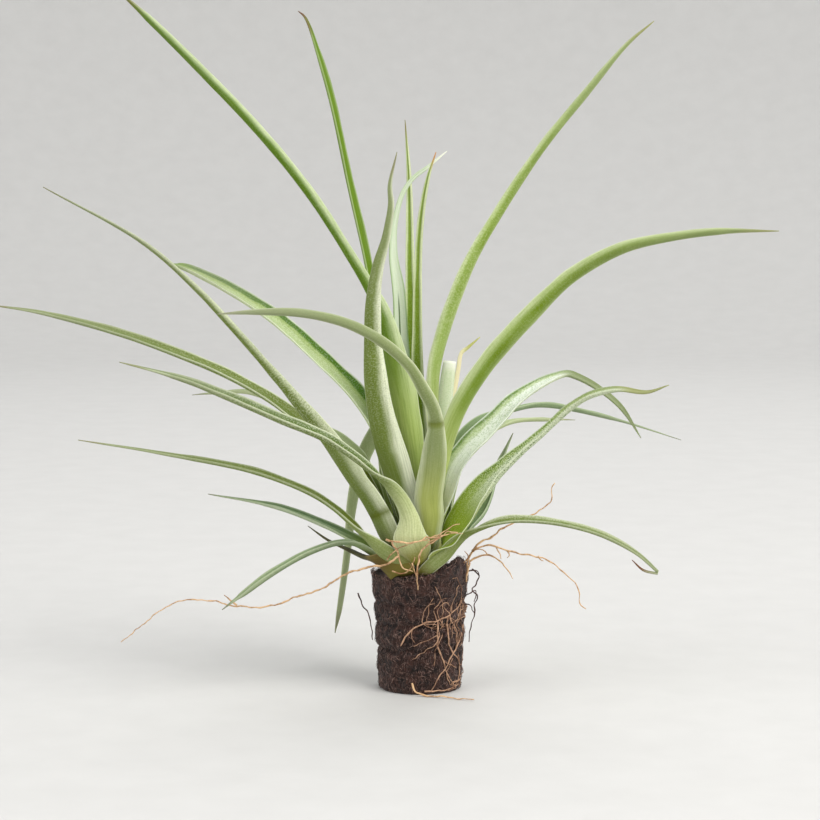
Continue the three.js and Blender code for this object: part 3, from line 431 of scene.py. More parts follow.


# How each leaf is painted: its look, the strength of the band down its underside (stripe) and the frost
# of its scales. The other values are there where a leaf needs them.
# - low: how much of that band is left low on the blade
# - rim: how far the margins pale inwards
# - pale: pales one side of the underside with painted light, on the side that the light falls on. Its sign
#   says which side.
# - far, band, near: far greens one side of the upper face, by its sign, from the place band on. near
#   pales the other side.
# - slit: the shares of the length between which painted shade runs down the channel, in its slit
# - rises, opens: in place of SHEATH_RISES and SHEATH_OPENS
# - fade: how far the blade greys towards its tip
# - dry, tip: the share of the length where a dry tip starts, and its colour
# - sheath: the leaf's own colour of the sheath
# - crease: the course's row, counted from the foot, where a fold crosses the blade
PAINT = {
    "leaf_dry_left": coat("dry", 0.6, 0.3, fade=0.0, dry=0.42, tip=(76, 76, 50)),
    "leaf_low_right": coat("olive", 0.2, 0.6, far=-0.9, near=0.3, band=-0.2, dry=0.93, tip=BROWN_TIP),
    "leaf_down_left": coat("blue", 0.4, 0.3, rim=0.3, fade=0.4),
    "leaf_lower_left": coat("olive", 0.4, 0.5, far=-0.5),
    "leaf_blue_left": coat("blue", 0.3, 0.4, pale=0.5, far=-0.9),
    "leaf_drooping": coat("pale", 0.2, 0.2),
    "leaf_small_right": coat("blue", 0.4, 0.3, far=-0.8),
    "leaf_low_front_left": coat(
        "neck", 0.3, 0.5, rim=0.2, far=-1.0, near=0.3, band=-0.2, rises=(0.05, 0.13),
    ),
    "leaf_front_right": coat(
        "fresh", 0.1, 1.0, far=1.0, near=0.95, band=0.62, opens=(0.2, 0.4), dry=0.86, tip=(142, 146, 92),
    ),
    "leaf_far_right": coat("pale", 0.4, 0.2),
    "leaf_back_right": coat("blue", 0.4, 0.2),
    "leaf_big_left": coat(
        "olive", 0.4, 0.6, pale=0.6, crease=3.0, opens=(0.02, 0.14), sheath=(162, 174, 116),
    ),
    "leaf_arching": coat("grey", 0.4, 0.15, rim=0.85, crease=7.2),
    "leaf_silver": coat("silver", 0.2, 0.45, far=0.95, near=1.0, band=0.62, dry=0.7, tip=(126, 138, 94)),
    "leaf_hidden_left": coat("pale", 0.4, 0.2),
    "leaf_long_left": coat("olive", 0.4, 0.4, far=0.9, band=-0.3),
    "leaf_front": coat("olive", 0.3, 0.25, pale=1.0, opens=(0.0, 0.08)),
    "leaf_upper_right": coat("striped", 1.0, 0.12, rim=0.4, pale=0.3),
    "leaf_back_left": coat("banded", 0.3, 0.3, far=-1.0, near=0.25, band=0.35),
    "leaf_cut_stub": coat("glass", 0.15, 0.2, fade=0.0),
    "leaf_dry_strip": coat("straw", 0.2, 0.1, fade=0.0, dry=0.9, tip=STRAW_TIP),
    "leaf_tall_right": coat("striped", 0.9, 0.25, low=0.3, rim=0.5, pale=0.4),
    "leaf_tall_left": coat("vivid", 0.8, 0.15, low=0.5, rim=0.2, pale=0.7, fade=0.1),
    "leaf_upper_left": coat("vivid", 0.7, 0.1, fade=0.0, dry=0.965, tip=BROWN_TIP),
    "leaf_centre_c": coat("mint", 0.3, 0.15, slit=(0.42, 0.6), fade=0.0),
    "leaf_centre_a": coat("bright", 0.6, 0.3, rim=0.9, fade=0.2),
    "leaf_centre_b": coat("bright", 0.5, 0.3, rim=0.85, fade=0.2, dry=0.97, tip=ORANGE_TIP),
}
DRY_LEAVES = ["leaf_dry_left", "leaf_dry_strip", "leaf_cut_stub"]

# Free roots, each drawn as the leaves are, by rows of (across, depth, up)
FRONT_ROOTS = [
    # The long root to the left
    [
        (-4.2, -11, 28.2), (-6, -10.6, 27), (-8.2, -9.6, 26.2), (-10.6, -8.6, 25.9), (-15, -6.6, 24.5),
        (-19.8, -5, 21.6), (-24.8, -4, 20), (-29.8, -3, 18.2), (-37, -2, 18.2), (-41.4, -1, 19.2),
        (-48, 0, 19.2), (-52.6, 1, 16.8), (-56, 2, 14), (-59.8, 3, 11),
    ],
    [(-36.6, -2.1, 18.3), (-38, -2.4, 19.4), (-39.2, -2.6, 20.4)],
    # Round the front of the lowest leaves
    [
        (-6.8, -11.4, 31.5), (-5.6, -12, 31.1), (-3.6, -12.6, 30.9), (-0.8, -12.8, 31),
        (1.6, -12.8, 31.9), (4, -13, 32), (5.6, -13.4, 33.1), (7.6, -13.8, 32.9),
    ],
    [(-5.6, -12, 31.1), (-5, -11.6, 29.6), (-4.2, -11, 28.2), (-3.6, -10.7, 26), (-1.4, -10.8, 25.1)],
    # Down over the plug's rim
    [
        (4, -13, 32), (1.6, -12, 30.4), (0, -11.4, 28.6), (-0.4, -11, 26.4), (-0.6, -10.6, 24.4),
        (-0.4, -10.5, 21.4),
    ],
]
RIGHT_ROOTS = [
    [
        (9.3, -4.2, 23), (9.5, -4.3, 26.2), (10.2, -4.8, 28.8), (13.4, -5.2, 30.4), (15.8, -5.4, 29.8),
        (21.2, -6.4, 28.4), (24, -7, 28), (26.4, -7.4, 26.8), (28.2, -7.6, 25.4), (30.2, -8, 23.6),
        (31.6, -8, 21.8), (32.2, -8, 18.4), (33.2, -8, 17.6),
    ],
    [
        (9.7, -4.5, 27), (12, -4.4, 28.2), (13.6, -4.2, 28.4), (15.8, -4, 27.4), (17.2, -3.8, 25.8),
        (18.6, -3.6, 23.6),
    ],
    [
        (10.4, -4.8, 29.2), (12.4, -5.6, 31.2), (14.4, -6.2, 32), (16.6, -6.8, 33.8), (23.4, -7.4, 37),
        (25.4, -7.4, 38.4), (26.6, -7.4, 40), (26.2, -7.4, 41.8), (27, -7.4, 42.8),
    ],
]
LOOP_ROOTS = [
    [
        (10.4, 0.8, 25.6), (11.9, 0.9, 24.2), (11.2, 0.6, 22.6), (10.4, 0.2, 21.4), (11.4, 0, 20.4),
        (11, 0.2, 18.4), (10.8, 0.5, 16.2), (10.1, 0.4, 14), (9.8, 0, 11),
    ],
]
LEFT_ROOTS = [
    [(-12.4, -2, 20.8), (-11.8, -2, 19), (-10.5, -2, 17), (-9.8, -2.2, 14.4), (-9.5, -2.6, 11.4)],
]
# A short root that has come out at the foot and lies along the surface: rows of the true (x, y, z)
FOOT_ROOT = [
    (-1.6, -9, 2.6), (-1, -9.3, 1), (2.4, -10.4, FOOT_ROOT_HEIGHT), (5.2, -11.4, FOOT_ROOT_HEIGHT),
    (8, -12.6, FOOT_ROOT_HEIGHT), (10.6, -13.6, FOOT_ROOT_HEIGHT),
]
# The net of roots on the plug's front right: rows of (azimuth in degrees, height)
NET_ROOTS = [
    [
        (-115, 10), (-108, 12), (-96, 13.8), (-82, 14.8), (-68, 15.2), (-54, 15.8), (-40, 17),
        (-28, 18.4),
    ],
    [(-68, 15.2), (-66, 10), (-58, 6.5), (-50, 3.8), (-34, 1)],
    [(-13, 13), (-30, 10), (-47, 6.8), (-62, 3.8), (-75, 0.8)],
    [(-54, 15.8), (-50, 10), (-30, 6.2), (-24, 3.6), (-26, 1.2)],
    [(-84, 0.8), (-75, 0.8), (-50, 0.7), (-34, 1), (-24, 1.2)],
]

# Finer strands that the photo shows beside the main roots, drawn the same way
FRONT_STRANDS = [
    [(-0.8, -12.2, 30.9), (3, -12.8, 32.1), (5.6, -13.2, 32.6), (8.6, -13.2, 32.7)],
    [(1.6, -12.4, 31), (3, -12.8, 31.6), (5, -13.2, 33.3), (7, -13.4, 34.4), (8, -13.2, 34.6)],
    [(0, -11.4, 28.4), (-0.5, -11, 26.4), (-0.4, -10.6, 24.4)],
    [(-1.6, -11.2, 26.8), (-1, -10.9, 25), (-0.6, -10.5, 23.8)],
    [(-5.6, -10.6, 25.2), (-4.2, -10.8, 24.8), (-2.6, -10.9, 25), (-1.6, -11, 26.2), (-1, -11.4, 28)],
    [(-6.6, -10.8, 27.4), (-5.6, -11.2, 28.8), (-4.2, -11.6, 29.8), (-2.4, -12, 30.4)],
]
RIGHT_STRANDS = [
    [(9.2, -4.6, 24.6), (10, -5, 26.2), (9.8, -5.4, 27.8), (10.6, -5.6, 29)],
    [(8.8, -5, 26.8), (9.6, -5.4, 28.2), (8.9, -5.8, 29.2)],
    [(10.2, -4.8, 28.8), (11.4, -5.6, 29.6), (12.8, -6, 29.2), (13.6, -6, 28.4)],
    [(15.2, -5.2, 30), (15.9, -5.4, 28.8), (16.2, -5.5, 27.6)],
    [(17.4, -5.7, 29.3), (17.9, -5.9, 28.4), (17.4, -5.9, 27.8)],
    [(23.6, -6.9, 28.2), (24.2, -7, 27.4), (24.7, -7, 27.2)],
]
LOOP_STRANDS = [
    [(9.2, -2, 20.4), (11, -1, 21.2), (11.2, 0, 20.4), (10.8, 0, 19)],
    [(9.6, -2.4, 25.2), (11.2, -1.6, 25.4), (11.9, 0.9, 24.2)],
    [(9, -3, 18.6), (10.2, -1.6, 18.2), (10.9, 0.2, 16.6)],
]
# Where small strands start on the plug: (azimuth, height, spread in degrees, spread in height, count)
TANGLES = [
    (-56, 14, 14, 1.6, 12), (-34, 9, 14, 5, 7), (-34, 1.6, 12, 1, 5), (-24, 18, 14, 3, 8),
]
TANGLE_LOWEST = 0.6
TANGLE_STEPS = 13
TANGLE_STEP = 0.7
TANGLE_WANDER = 0.22
TANGLE_CURL = 0.16


def paint(red, green, blue):
    """A shader colour from sRGB steps of 0 to 255."""
    linear = []
    for step in (red, green, blue):
        share = step / 255
        linear.append(share / 12.92 if share <= 0.04045 else ((share + 0.055) / 1.055) ** 2.4)
    return (*linear, 1.0)


def smooth_step(edges, value):
    share = np.clip((value - edges[0]) / (edges[1] - edges[0]), 0, 1)
    return share * share * (3 - 2 * share)


def around(azimuth, radius, height):
    turn = math.radians(azimuth)
    return np.array([radius * math.cos(turn), radius * math.sin(turn), height])


def circle(azimuths, radius, height):
    return [around(azimuth, radius, height) for azimuth in azimuths]


def in_place(across, depth, up):
    """The point at this depth that the eye sees at these places across and up."""
    seen_at = np.array([across, 0.0, AIM[2]]) + SEE_UP * (up - AIM[2])
    sight = seen_at - EYE
    point = EYE + sight * (depth - EYE[1]) / sight[1]
    return point - [0, 0, SEEN_FOOT]


def unit(vectors):
    return vectors / np.linalg.norm(vectors, axis=-1, keepdims=True)


class Course:
    """A smooth curve through points: the centripetal Catmull-Rom curve of the model's source."""

    def __init__(self, points):
        points = np.array(points, float)
        self.spans = len(points) - 1
        before = 2 * points[0] - points[1]
        after = 2 * points[-1] - points[-2]
        self.frame = np.vstack([before, points, after])
        self.dense = np.linspace(0, 1, SAMPLES_A_SPAN * self.spans + 1)
        steps = np.diff(self.at(self.dense)[0], axis=0)
        self.reach = np.concatenate([[0], np.cumsum(np.linalg.norm(steps, axis=1))])

    def at(self, t):
        """The points and directions at t, which runs evenly from point to point."""
        span = np.minimum((t * self.spans).astype(int), self.spans - 1)
        w = (t * self.spans - span)[:, None]
        p0, p1, p2, p3 = (self.frame[span + k] for k in range(4))
        gaps = (np.linalg.norm(step, axis=1)[:, None] for step in (p1 - p0, p2 - p1, p3 - p2))
        d0, d1, d2 = (np.sqrt(gap) for gap in gaps)
        leave = ((p1 - p0) / d0 - (p2 - p0) / (d0 + d1) + (p2 - p1) / d1) * d1
        arrive = ((p2 - p1) / d1 - (p3 - p1) / (d1 + d2) + (p3 - p2) / d2) * d1
        square = 3 * (p2 - p1) - 2 * leave - arrive
        cube = 2 * (p1 - p2) + leave + arrive
        points = p1 + leave * w + square * w**2 + cube * w**3
        directions = leave + 2 * square * w + 3 * cube * w**2
        return points, unit(directions)

    def even(self, step):
        """Values of t about a step apart along the curve, and the reach of each from its start."""
        count = max(4, round(self.reach[-1] / step))
        reach = np.linspace(0, self.reach[-1], count + 1)
        return np.interp(reach, self.reach, self.dense), reach


def wobble(draw, reach, longest, shortest, waves=4):
    """A smooth seeded wave along a reach, between about -1 and 1."""
    total = np.zeros_like(reach)
    for _ in range(waves):
        length = draw.uniform(shortest, longest)
        total += np.sin(2 * math.pi * (reach / length + draw.random()))
    return total / waves**0.5


def ring_faces(rings, size):
    """Quads between rings of corners, each of the same size."""
    faces = []
    for ring in range(rings - 1):
        for i in range(size):
            a = ring * size + i
            b = ring * size + (i + 1) % size
            faces.append((a, b, b + size, a + size))
    return faces


def closed_faces(rings, size):
    """The quads between rings of corners, and a face over each end."""
    last = (rings - 1) * size
    ends = [tuple(reversed(range(size))), tuple(range(last, last + size))]
    return ring_faces(rings, size) + ends


def new_object(name, data):
    made = bpy.data.objects.new(name, data)
    bpy.context.scene.collection.objects.link(made)
    return made


def mesh_object(name, corners, faces, material):
    """A smooth object from corners in metres."""
    mesh = bpy.data.meshes.new(name)
    mesh.from_pydata(corners, [], faces)
    mesh.validate()
    mesh.shade_smooth()
    mesh.materials.append(material)
    return new_object(name, mesh)


class Shape:
    """Corners in millimetres, faces and named values at the corners, gathered for one mesh."""

    def __init__(self):
        self.corners = []
        self.faces = []
        self.values = {}

    def add(self, corners, faces, **values):
        start = sum(len(part) for part in self.corners)
        self.corners.append(np.asarray(corners, float))
        self.faces += [tuple(start + i for i in face) for face in faces]
        for name, value in values.items():
            self.values.setdefault(name, []).append(np.broadcast_to(value, len(corners)))

    def piece(self, name, material, slot, *nodes):
        """Makes the object, which rides on the root body and stands for the nodes."""
        piece = mesh_object(name, (np.vstack(self.corners) * MM).tolist(), self.faces, material)
        for key, parts in self.values.items():
            attribute = piece.data.attributes.new(key, "FLOAT", "POINT")
            attribute.data.foreach_set("value", np.concatenate(parts).astype(np.float32))
        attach(piece, "root")
        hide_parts(*nodes)


class Finish:
    """A node material, with short ways to add the nodes that the looks here are made of."""

    def __init__(self, name):
        self.material = bpy.data.materials.new(name)
        self.material.use_nodes = True
        self.tree = self.material.node_tree
        self.shader = self.tree.nodes["Principled BSDF"]

    def node(self, kind, feeds, out=0, **settings):
        """Adds a node. feeds gives its inputs by number or name, as sockets or values."""
        node = self.tree.nodes.new(kind)
        for key, value in settings.items():
            setattr(node, key, value)
        for key, value in feeds.items():
            self.feed(node.inputs[key], value)
        return node.outputs[out]

    def feed(self, socket, value):
        if isinstance(value, bpy.types.NodeSocket):
            self.tree.links.new(value, socket)
        else:
            socket.default_value = value

    def set(self, **feeds):
        """Sets the shader's inputs, with _ for a space in their names."""
        for key, value in feeds.items():
            self.feed(self.shader.inputs[key.replace("_", " ")], value)

    def value(self, name):
        return self.node("ShaderNodeAttribute", {}, out="Fac", attribute_name=name)

    def place(self):
        return self.node("ShaderNodeTexCoord", {}, out="Object")

    def maths(self, operation, a, b=0.0):
        return self.node("ShaderNodeMath", {0: a, 1: b}, operation=operation)

    def times(self, a, b):
        return self.maths("MULTIPLY", a, b)

    def plus(self, a, b):
        return self.maths("ADD", a, b)

    def band(self, value, low, high, to_low=0.0, to_high=1.0):
        """Moves smoothly from one value to another as the input goes from low to high."""
        feeds = {"Value": value, "From Min": low, "From Max": high, "To Min": to_low, "To Max": to_high}
        return self.node("ShaderNodeMapRange", feeds, interpolation_type="SMOOTHSTEP")

    def mix(self, share, a, b):
        return self.node("ShaderNodeMix", {0: share, 6: a, 7: b}, out=2, data_type="RGBA")

    def vector(self, x, y, z):
        return self.node("ShaderNodeCombineXYZ", {0: x, 1: y, 2: z})

    def stretch(self, vector, scale):
        return self.node("ShaderNodeMapping", {"Vector": vector, "Scale": scale})

    def grain(self, vector, scale, detail, roughness=0.55):
        feeds = {"Vector": vector, "Scale": scale, "Detail": detail, "Roughness": roughness}
        return self.node("ShaderNodeTexNoise", feeds, out="Fac")

    def bump(self, height, distance, strength, normal=None):
        feeds = {"Height": height, "Distance": distance * MM, "Strength": strength}
        if normal is not None:
            feeds["Normal"] = normal
        return self.node("ShaderNodeBump", feeds)


class LeafFinish(Finish):
    """A living or dry blade: two faces, a band, pale margins, fine lengthwise lines and grey scales."""

    def __init__(self, name, number, plan):
        super().__init__("finish_" + name)
        self.plan = plan
        self.look = {key: paint(*colour) for key, colour in LOOKS[plan["look"]].items()}
        self.across = self.value("across")
        self.along = self.value("along")
        self.half = self.value("half_width")
        self.on_top = self.value("top")
        self.off_middle = self.maths("ABSOLUTE", self.across)
        # The blade laid flat, in millimetres, with its own part of the noise
        sideways = self.times(self.across, self.half)
        self.flat = self.vector(sideways, self.value("reach"), number * NOISE_STEP)
        self.lines = self.grain(self.stretch(self.flat, (5.2, 0.16, 1)), 1, 4, 0.6)
        self.patches = self.grain(self.stretch(self.flat, (0.5, 0.13, 1)), 1, 2)
        self.dots = self.grain(self.flat, 3.8, 2, 0.5)
        self.swing = self.times(self.maths("SUBTRACT", self.patches, 0.5), 0.5)

        blade = self.mix(self.on_top, self.underside(), self.upper_face())
        opening = self.band(self.along, *plan.get("opens", SHEATH_OPENS))
        colour = self.mix(opening, self.sheath(), blade)
        colour = self.withering(self.marks(colour))
        rough = self.band(self.dots, 0.35, 0.65, 0.5, 0.68)
        scales = self.grain(self.flat, 9.0, 1, 0.4)
        normal = self.bump(scales, 0.03, 0.45, self.bump(self.lines, 0.04, 0.4))
        self.set(Base_Color=colour, Roughness=rough, Normal=normal, Specular_IOR_Level=0.16)
        self.set(Subsurface_Weight=0.06, Subsurface_Radius=(0.8, 1.0, 0.3), Subsurface_Scale=0.0006)

    def sided(self, sign):
        """The place across the blade, from -1 to 1 towards the side of the sign, with an uneven edge."""
        return self.plus(self.times(self.across, math.copysign(1, sign)), self.swing)

    def underside(self):
        """A band down the middle, and a side paled with painted light."""
        middle = self.band(self.off_middle, 0.2, 0.72, 1.0, 0.0)
        middle = self.times(middle, self.band(self.patches, 0.2, 0.75, 0.55, 1.0))
        middle = self.times(middle, self.band(self.along, 0.25, 0.55, self.plan.get("low", 1.0), 1.0))
        colour = self.mix(self.times(middle, self.plan["stripe"]), self.look["under"], self.look["stripe"])
        # The paler side is painted light: the side of the underside that the light falls on is made paler
        if "pale" in self.plan:
            pale = self.band(self.sided(self.plan["pale"]), 0.0, 0.7, 0.0, abs(self.plan["pale"]))
            colour = self.mix(pale, colour, self.look["margin"])
        return colour

    def upper_face(self):
        """Greener on the far side, and with painted shade down the slit of a channel that is nearly
        closed.
        """
        colour = self.look["top"]
        if "far" in self.plan:
            place = self.sided(self.plan["far"])
            start = self.plan.get("band", 0.1)
            far = self.band(place, start, start + 0.22, 0.0, abs(self.plan["far"]))
            near = self.band(place, start, start - 0.4, 0.0, self.plan.get("near", 0.0))
            colour = self.mix(near, self.mix(far, colour, self.look["deep"]), self.look["margin"])
        if "slit" in self.plan:
            opens, closes = self.plan["slit"]
            slit = self.band(self.off_middle, 0.16, 0.04)
            slit = self.times(slit, self.band(self.along, opens, opens + 0.03))
            slit = self.times(slit, self.band(self.along, closes, closes - 0.05))
            # Painted shade in the gap between the channel's nearly closed margins
            colour = self.mix(slit, colour, paint(*SLIT_SHADE))
        return colour

    def sheath(self):
        """The clasping foot, with its own colour low down, and on its inner face a colour that in the
        darker looks holds painted shade.
        """
        colour = paint(*self.plan["sheath"]) if "sheath" in self.plan else self.look["sheath"]
        rising = self.band(self.along, *self.plan.get("rises", SHEATH_RISES))
        return self.mix(self.on_top, self.mix(rising, self.look["foot"], colour), self.look["inner"])

    def marks(self, colour):
        """Pale margins, fine lines, grey scales with dark specks between them, and painted shade in a
        fold.
        """
        dark, pale = self.look["stripe"], self.look["margin"]
        uneven = self.plus(self.off_middle, self.swing)
        colour = self.mix(self.band(uneven, 0.35, 1.0, 0.0, self.plan.get("rim", 0.0)), colour, pale)
        colour = self.mix(self.band(self.lines, 0.42, 0.66, 0.0, 0.26), colour, dark)
        colour = self.mix(self.band(self.lines, 0.5, 0.3, 0.0, 0.05), colour, pale)
        scaly = self.times(self.band(self.along, 0.2, 0.45, 0.2, 1.0), self.plan["frost"])
        scaly = self.times(self.band(self.half, 0.5, 1.6, 0.3, 1.0), scaly)
        colour = self.mix(self.times(self.band(self.dots, 0.5, 0.62, 0.0, 0.6), scaly), colour, pale)
        colour = self.mix(self.times(self.band(self.dots, 0.5, 0.38), scaly), colour, dark)
        from_margin = self.times(self.maths("SUBTRACT", 1.0, self.off_middle), self.half)
        edge = self.band(from_margin, 0.04, 0.3, 0.8, 0.0)
        edge = self.times(edge, self.band(self.half, 0.4, 2.2, 0.25, 1.0))
        colour = self.mix(edge, colour, pale)
        # Painted shade in a fold, in the colour of the inner face
        return self.mix(self.times(self.value("crease"), 0.75), colour, self.look["inner"])

    def withering(self, colour):
        """The fading towards the tip, and the dry tip."""
        faded = self.band(self.along, 0.5, 0.98, 0.0, self.plan.get("fade", 0.5))
        colour = self.mix(faded, colour, paint(*FADED))
        uneven = self.plus(self.along, self.band(self.patches, 0.2, 0.8, -0.02, 0.02))
        start = self.plan.get("dry", 0.95)
        dry = paint(*self.plan["tip"]) if "tip" in self.plan else self.look["tip"]
        return self.mix(self.band(uneven, start - 0.03, min(1.0, start + 0.03), 0.0, 0.9), colour, dry)


def plug_finish():
    """Dark felted fibre with paler threads, and painted shade in its hollows and creases."""
    finish = Finish("finish_plug")
    place = finish.place()
    lumps = finish.grain(place, 520, 5, 0.6)
    threads = finish.grain(finish.stretch(place, (1.0, 1.0, 0.28)), 3600, 3, 0.6)
    cross_threads = finish.grain(finish.stretch(place, (0.3, 0.3, 1.0)), 3300, 3, 0.6)
    colour = finish.mix(finish.band(lumps, 0.34, 0.66), paint(*FELT_DARK), paint(*FELT_BROWN))
    colour = finish.mix(finish.band(threads, 0.54, 0.7, 0.0, 0.6), colour, paint(*FELT_THREADS))
    crossing = finish.band(cross_threads, 0.56, 0.72, 0.0, 0.4)
    colour = finish.mix(crossing, colour, paint(*FELT_CROSS_THREADS))
    # Painted shade in the felt's hollows, where the lumps that make its bump are low
    colour = finish.mix(finish.band(lumps, 0.48, 0.32, 0.0, 0.8), colour, paint(*FELT_HOLLOW_SHADE))
    # Painted shade along the creases of the wrapped fibre, whose lines wander a little up and down
    waves = finish.grain(finish.stretch(place, (1.0, 1.0, 0.2)), 240, 3)
    height = finish.node("ShaderNodeSeparateXYZ", {"Vector": place}, out="Z")
    height = finish.plus(height, finish.band(waves, 0.3, 0.7, -1.1 * MM, 1.1 * MM))
    for crease_height, depth in PLUG_CREASE_SHADES:
        away = finish.maths("ABSOLUTE", finish.maths("SUBTRACT", height, crease_height * MM))
        crease = finish.band(away, 0.2 * MM, 0.75 * MM, depth, 0.0)
        colour = finish.mix(crease, colour, paint(*CREASE_SHADE))
    relief = finish.plus(threads, cross_threads)
    normal = finish.bump(relief, 0.35, 0.9, finish.bump(lumps, 0.6, 0.7))
    finish.set(Base_Color=colour, Roughness=finish.band(threads, 0.3, 0.7, 0.98, 0.8), Normal=normal)
    finish.set(Specular_IOR_Level=0.15, Sheen_Weight=0.15, Sheen_Roughness=0.6)
    return finish.material


def fibre_finish(name, dark, light, roughness):
    """Thin fibres and roots: dark to light by the value tone, with a fine mottle along them."""
    finish = Finish(name)
    mottle = finish.grain(finish.place(), 1500, 3, 0.6)
    tone = finish.plus(finish.value("tone"), finish.band(mottle, 0.3, 0.7, -0.28, 0.28))
    colour = finish.mix(finish.band(tone, 0.0, 1.0), paint(*dark), paint(*light))
    normal = finish.bump(mottle, 0.12, 0.7)
    finish.set(Base_Color=colour, Roughness=finish.band(mottle, 0.3, 0.7, roughness, roughness - 0.25))
    finish.set(Normal=normal, Specular_IOR_Level=0.35)
    return finish.material


def stem_finish():
    """The hidden stem: yellow-green flesh with brown remains of old sheaths."""
    finish = Finish("finish_stem")
    place = finish.place()
    bands = finish.grain(finish.stretch(place, (0.35, 0.35, 1.6)), 900, 4, 0.6)
    patches = finish.grain(place, 420, 3)
    colour = finish.mix(finish.band(patches, 0.4, 0.62), paint(128, 124, 62), paint(86, 62, 36))
    colour = finish.mix(finish.band(bands, 0.52, 0.68, 0.0, 0.8), colour, paint(56, 38, 26))
    finish.set(Base_Color=colour, Roughness=finish.band(bands, 0.3, 0.7, 0.6, 0.85))
    finish.set(Normal=finish.bump(bands, 0.3, 0.8))
    return finish.material


def cone_height(radius):
    return CONE_FOOT_HEIGHT + (CONE_FOOT_RADIUS - radius) * CONE_SLOPE


def leaf_course(root, rows):
    """A leaf's course from its foot to its tip, and its width at each of the points."""
    azimuth, radius, foot_width = root
    foot = around(azimuth, radius, cone_height(radius))
    points = np.array([foot] + [in_place(*row[:3]) for row in rows])
    nearness = np.linalg.norm(points - EYE, axis=1) / EYE_DISTANCE
    widths = [foot_width]
    for row, near in zip(rows, nearness[1:]):
        widths.append(max(LEAST_WIDTH, row[3] * near))
    if rows[-1][3] == LEAST_WIDTH:
        widths[-1] = TIP_WIDTH
    return Course(points), widths


def blended(width):
    """The width along a course, with its bends smoothed over a short stretch."""
    blend = np.hanning(2 * round(WIDTH_BLEND / ROW_STEP / 2) + 3)[1:-1]
    padded = np.pad(width, len(blend) // 2, mode="reflect", reflect_type="odd")
    return np.maximum(np.convolve(padded, blend / blend.sum(), mode="valid"), TIP_WIDTH)


def blade_sides(outward, under, turned, forward, twist):
    """The directions up out of the channel and across it, along the course."""
    facing = outward + (unit(np.array(under, float)) - outward) * turned[:, None]
    facing -= np.sum(facing * forward, axis=1)[:, None] * forward
    inner = -unit(facing)
    side = unit(np.cross(inner, forward))
    cos, sin = np.cos(twist)[:, None], np.sin(twist)[:, None]
    return inner * cos + side * sin, side * cos - inner * sin


def blade_curl(root, t, half):
    """Half the angle that the channel spans: clasping at the foot, open in the blade, closing again."""
    radius, foot_width = root[1:]
    clasp = math.asin(min(math.sin(WIDEST_CLASP), foot_width / 2 / radius))
    curl = clasp + (BLADE_CURL - clasp) * smooth_step(BLADE_OPENS, t)
    curl += (TIP_CURL - curl) * smooth_step(BLADE_CLOSES, t)
    return np.minimum(curl, np.arcsin(np.minimum(1, half / TIGHTEST_ROLL)))


def leaf_rings(name, leaf, draw):
    """The rings of corners of a blade from foot to tip, with the values that its finish reads."""
    root, under, rows = leaf
    course, widths = leaf_course(root, rows)
    t, reach = course.even(ROW_STEP)
    middle, forward = course.at(t)
    width = blended(np.interp(t * course.spans, np.arange(len(widths)), widths))
    half = width / 2 * (1 + WIDTH_WAVE * wobble(draw, reach, 24, 6))
    turned = smooth_step(TURNS.get(name, USUAL_TURNS), t)
    twist = TWIST * wobble(draw, reach, 70, 25, 2) * smooth_step(TWIST_STARTS, t)
    inner, side = blade_sides(around(root[0], 1, 0), under, turned, forward, twist)
    curl = blade_curl(root, t, half)
    roll = half / np.sin(curl)
    rise = roll * (1 - np.cos(curl)) / 2

    # The section: its thickness, the wave of its margins and a fold across it
    share = np.sin(np.linspace(-math.pi / 2, math.pi / 2, COLUMNS_ACROSS))
    thick = BLADE_THICKNESS / 2 * (1 - MARGIN_THINNING * share**2) * np.sqrt(1 - np.abs(share) ** 8)
    thick = np.minimum(thick, SLIM_SHARE * half[:, None] + SLIM_LEAST)
    crease = np.zeros_like(reach)
    if "crease" in PAINT[name]:
        fold = np.interp(PAINT[name]["crease"] / course.spans, t, reach)
        crease = np.exp(-(((reach - fold) / CREASE_LENGTH) ** 2))
    wave = [MARGIN_WAVE * wobble(draw, reach, 16, 6) for _ in range(2)]
    lift = np.where(share < 0, wave[0][:, None], wave[1][:, None]) * share**4
    lift = lift * np.minimum(1, half / 2)[:, None] + (CREASE_DEPTH * crease)[:, None] * (1 - share**2)

    angle = share * curl[:, None]
    faces_of_blade = []
    for layer, columns in ((1, slice(None)), (-1, slice(-2, 0, -1))):
        distance = (roll[:, None] + layer * thick)[:, columns]
        a = angle[:, columns]
        up = (roll - rise)[:, None] - distance * np.cos(a) + lift[:, columns]
        raised = inner[:, None] * up[..., None]
        spread = side[:, None] * (distance * np.sin(a))[..., None]
        faces_of_blade.append(middle[:, None] + raised + spread)
    corners = np.concatenate(faces_of_blade, axis=1)

    ring_top = np.concatenate([np.zeros(COLUMNS_ACROSS), np.ones(COLUMNS_ACROSS - 2)])
    ring_top[[0, COLUMNS_ACROSS - 1]] = 0.5
    count, size = corners.shape[:2]
    values = {
        "across": np.tile(np.concatenate([share, share[-2:0:-1]]), count),
        "top": np.tile(ring_top, count),
        "along": np.repeat(reach / reach[-1], size),
        "reach": np.repeat(reach, size),
        "half_width": np.repeat(half, size),
        "crease": np.repeat(crease, size),
    }
    return corners, values


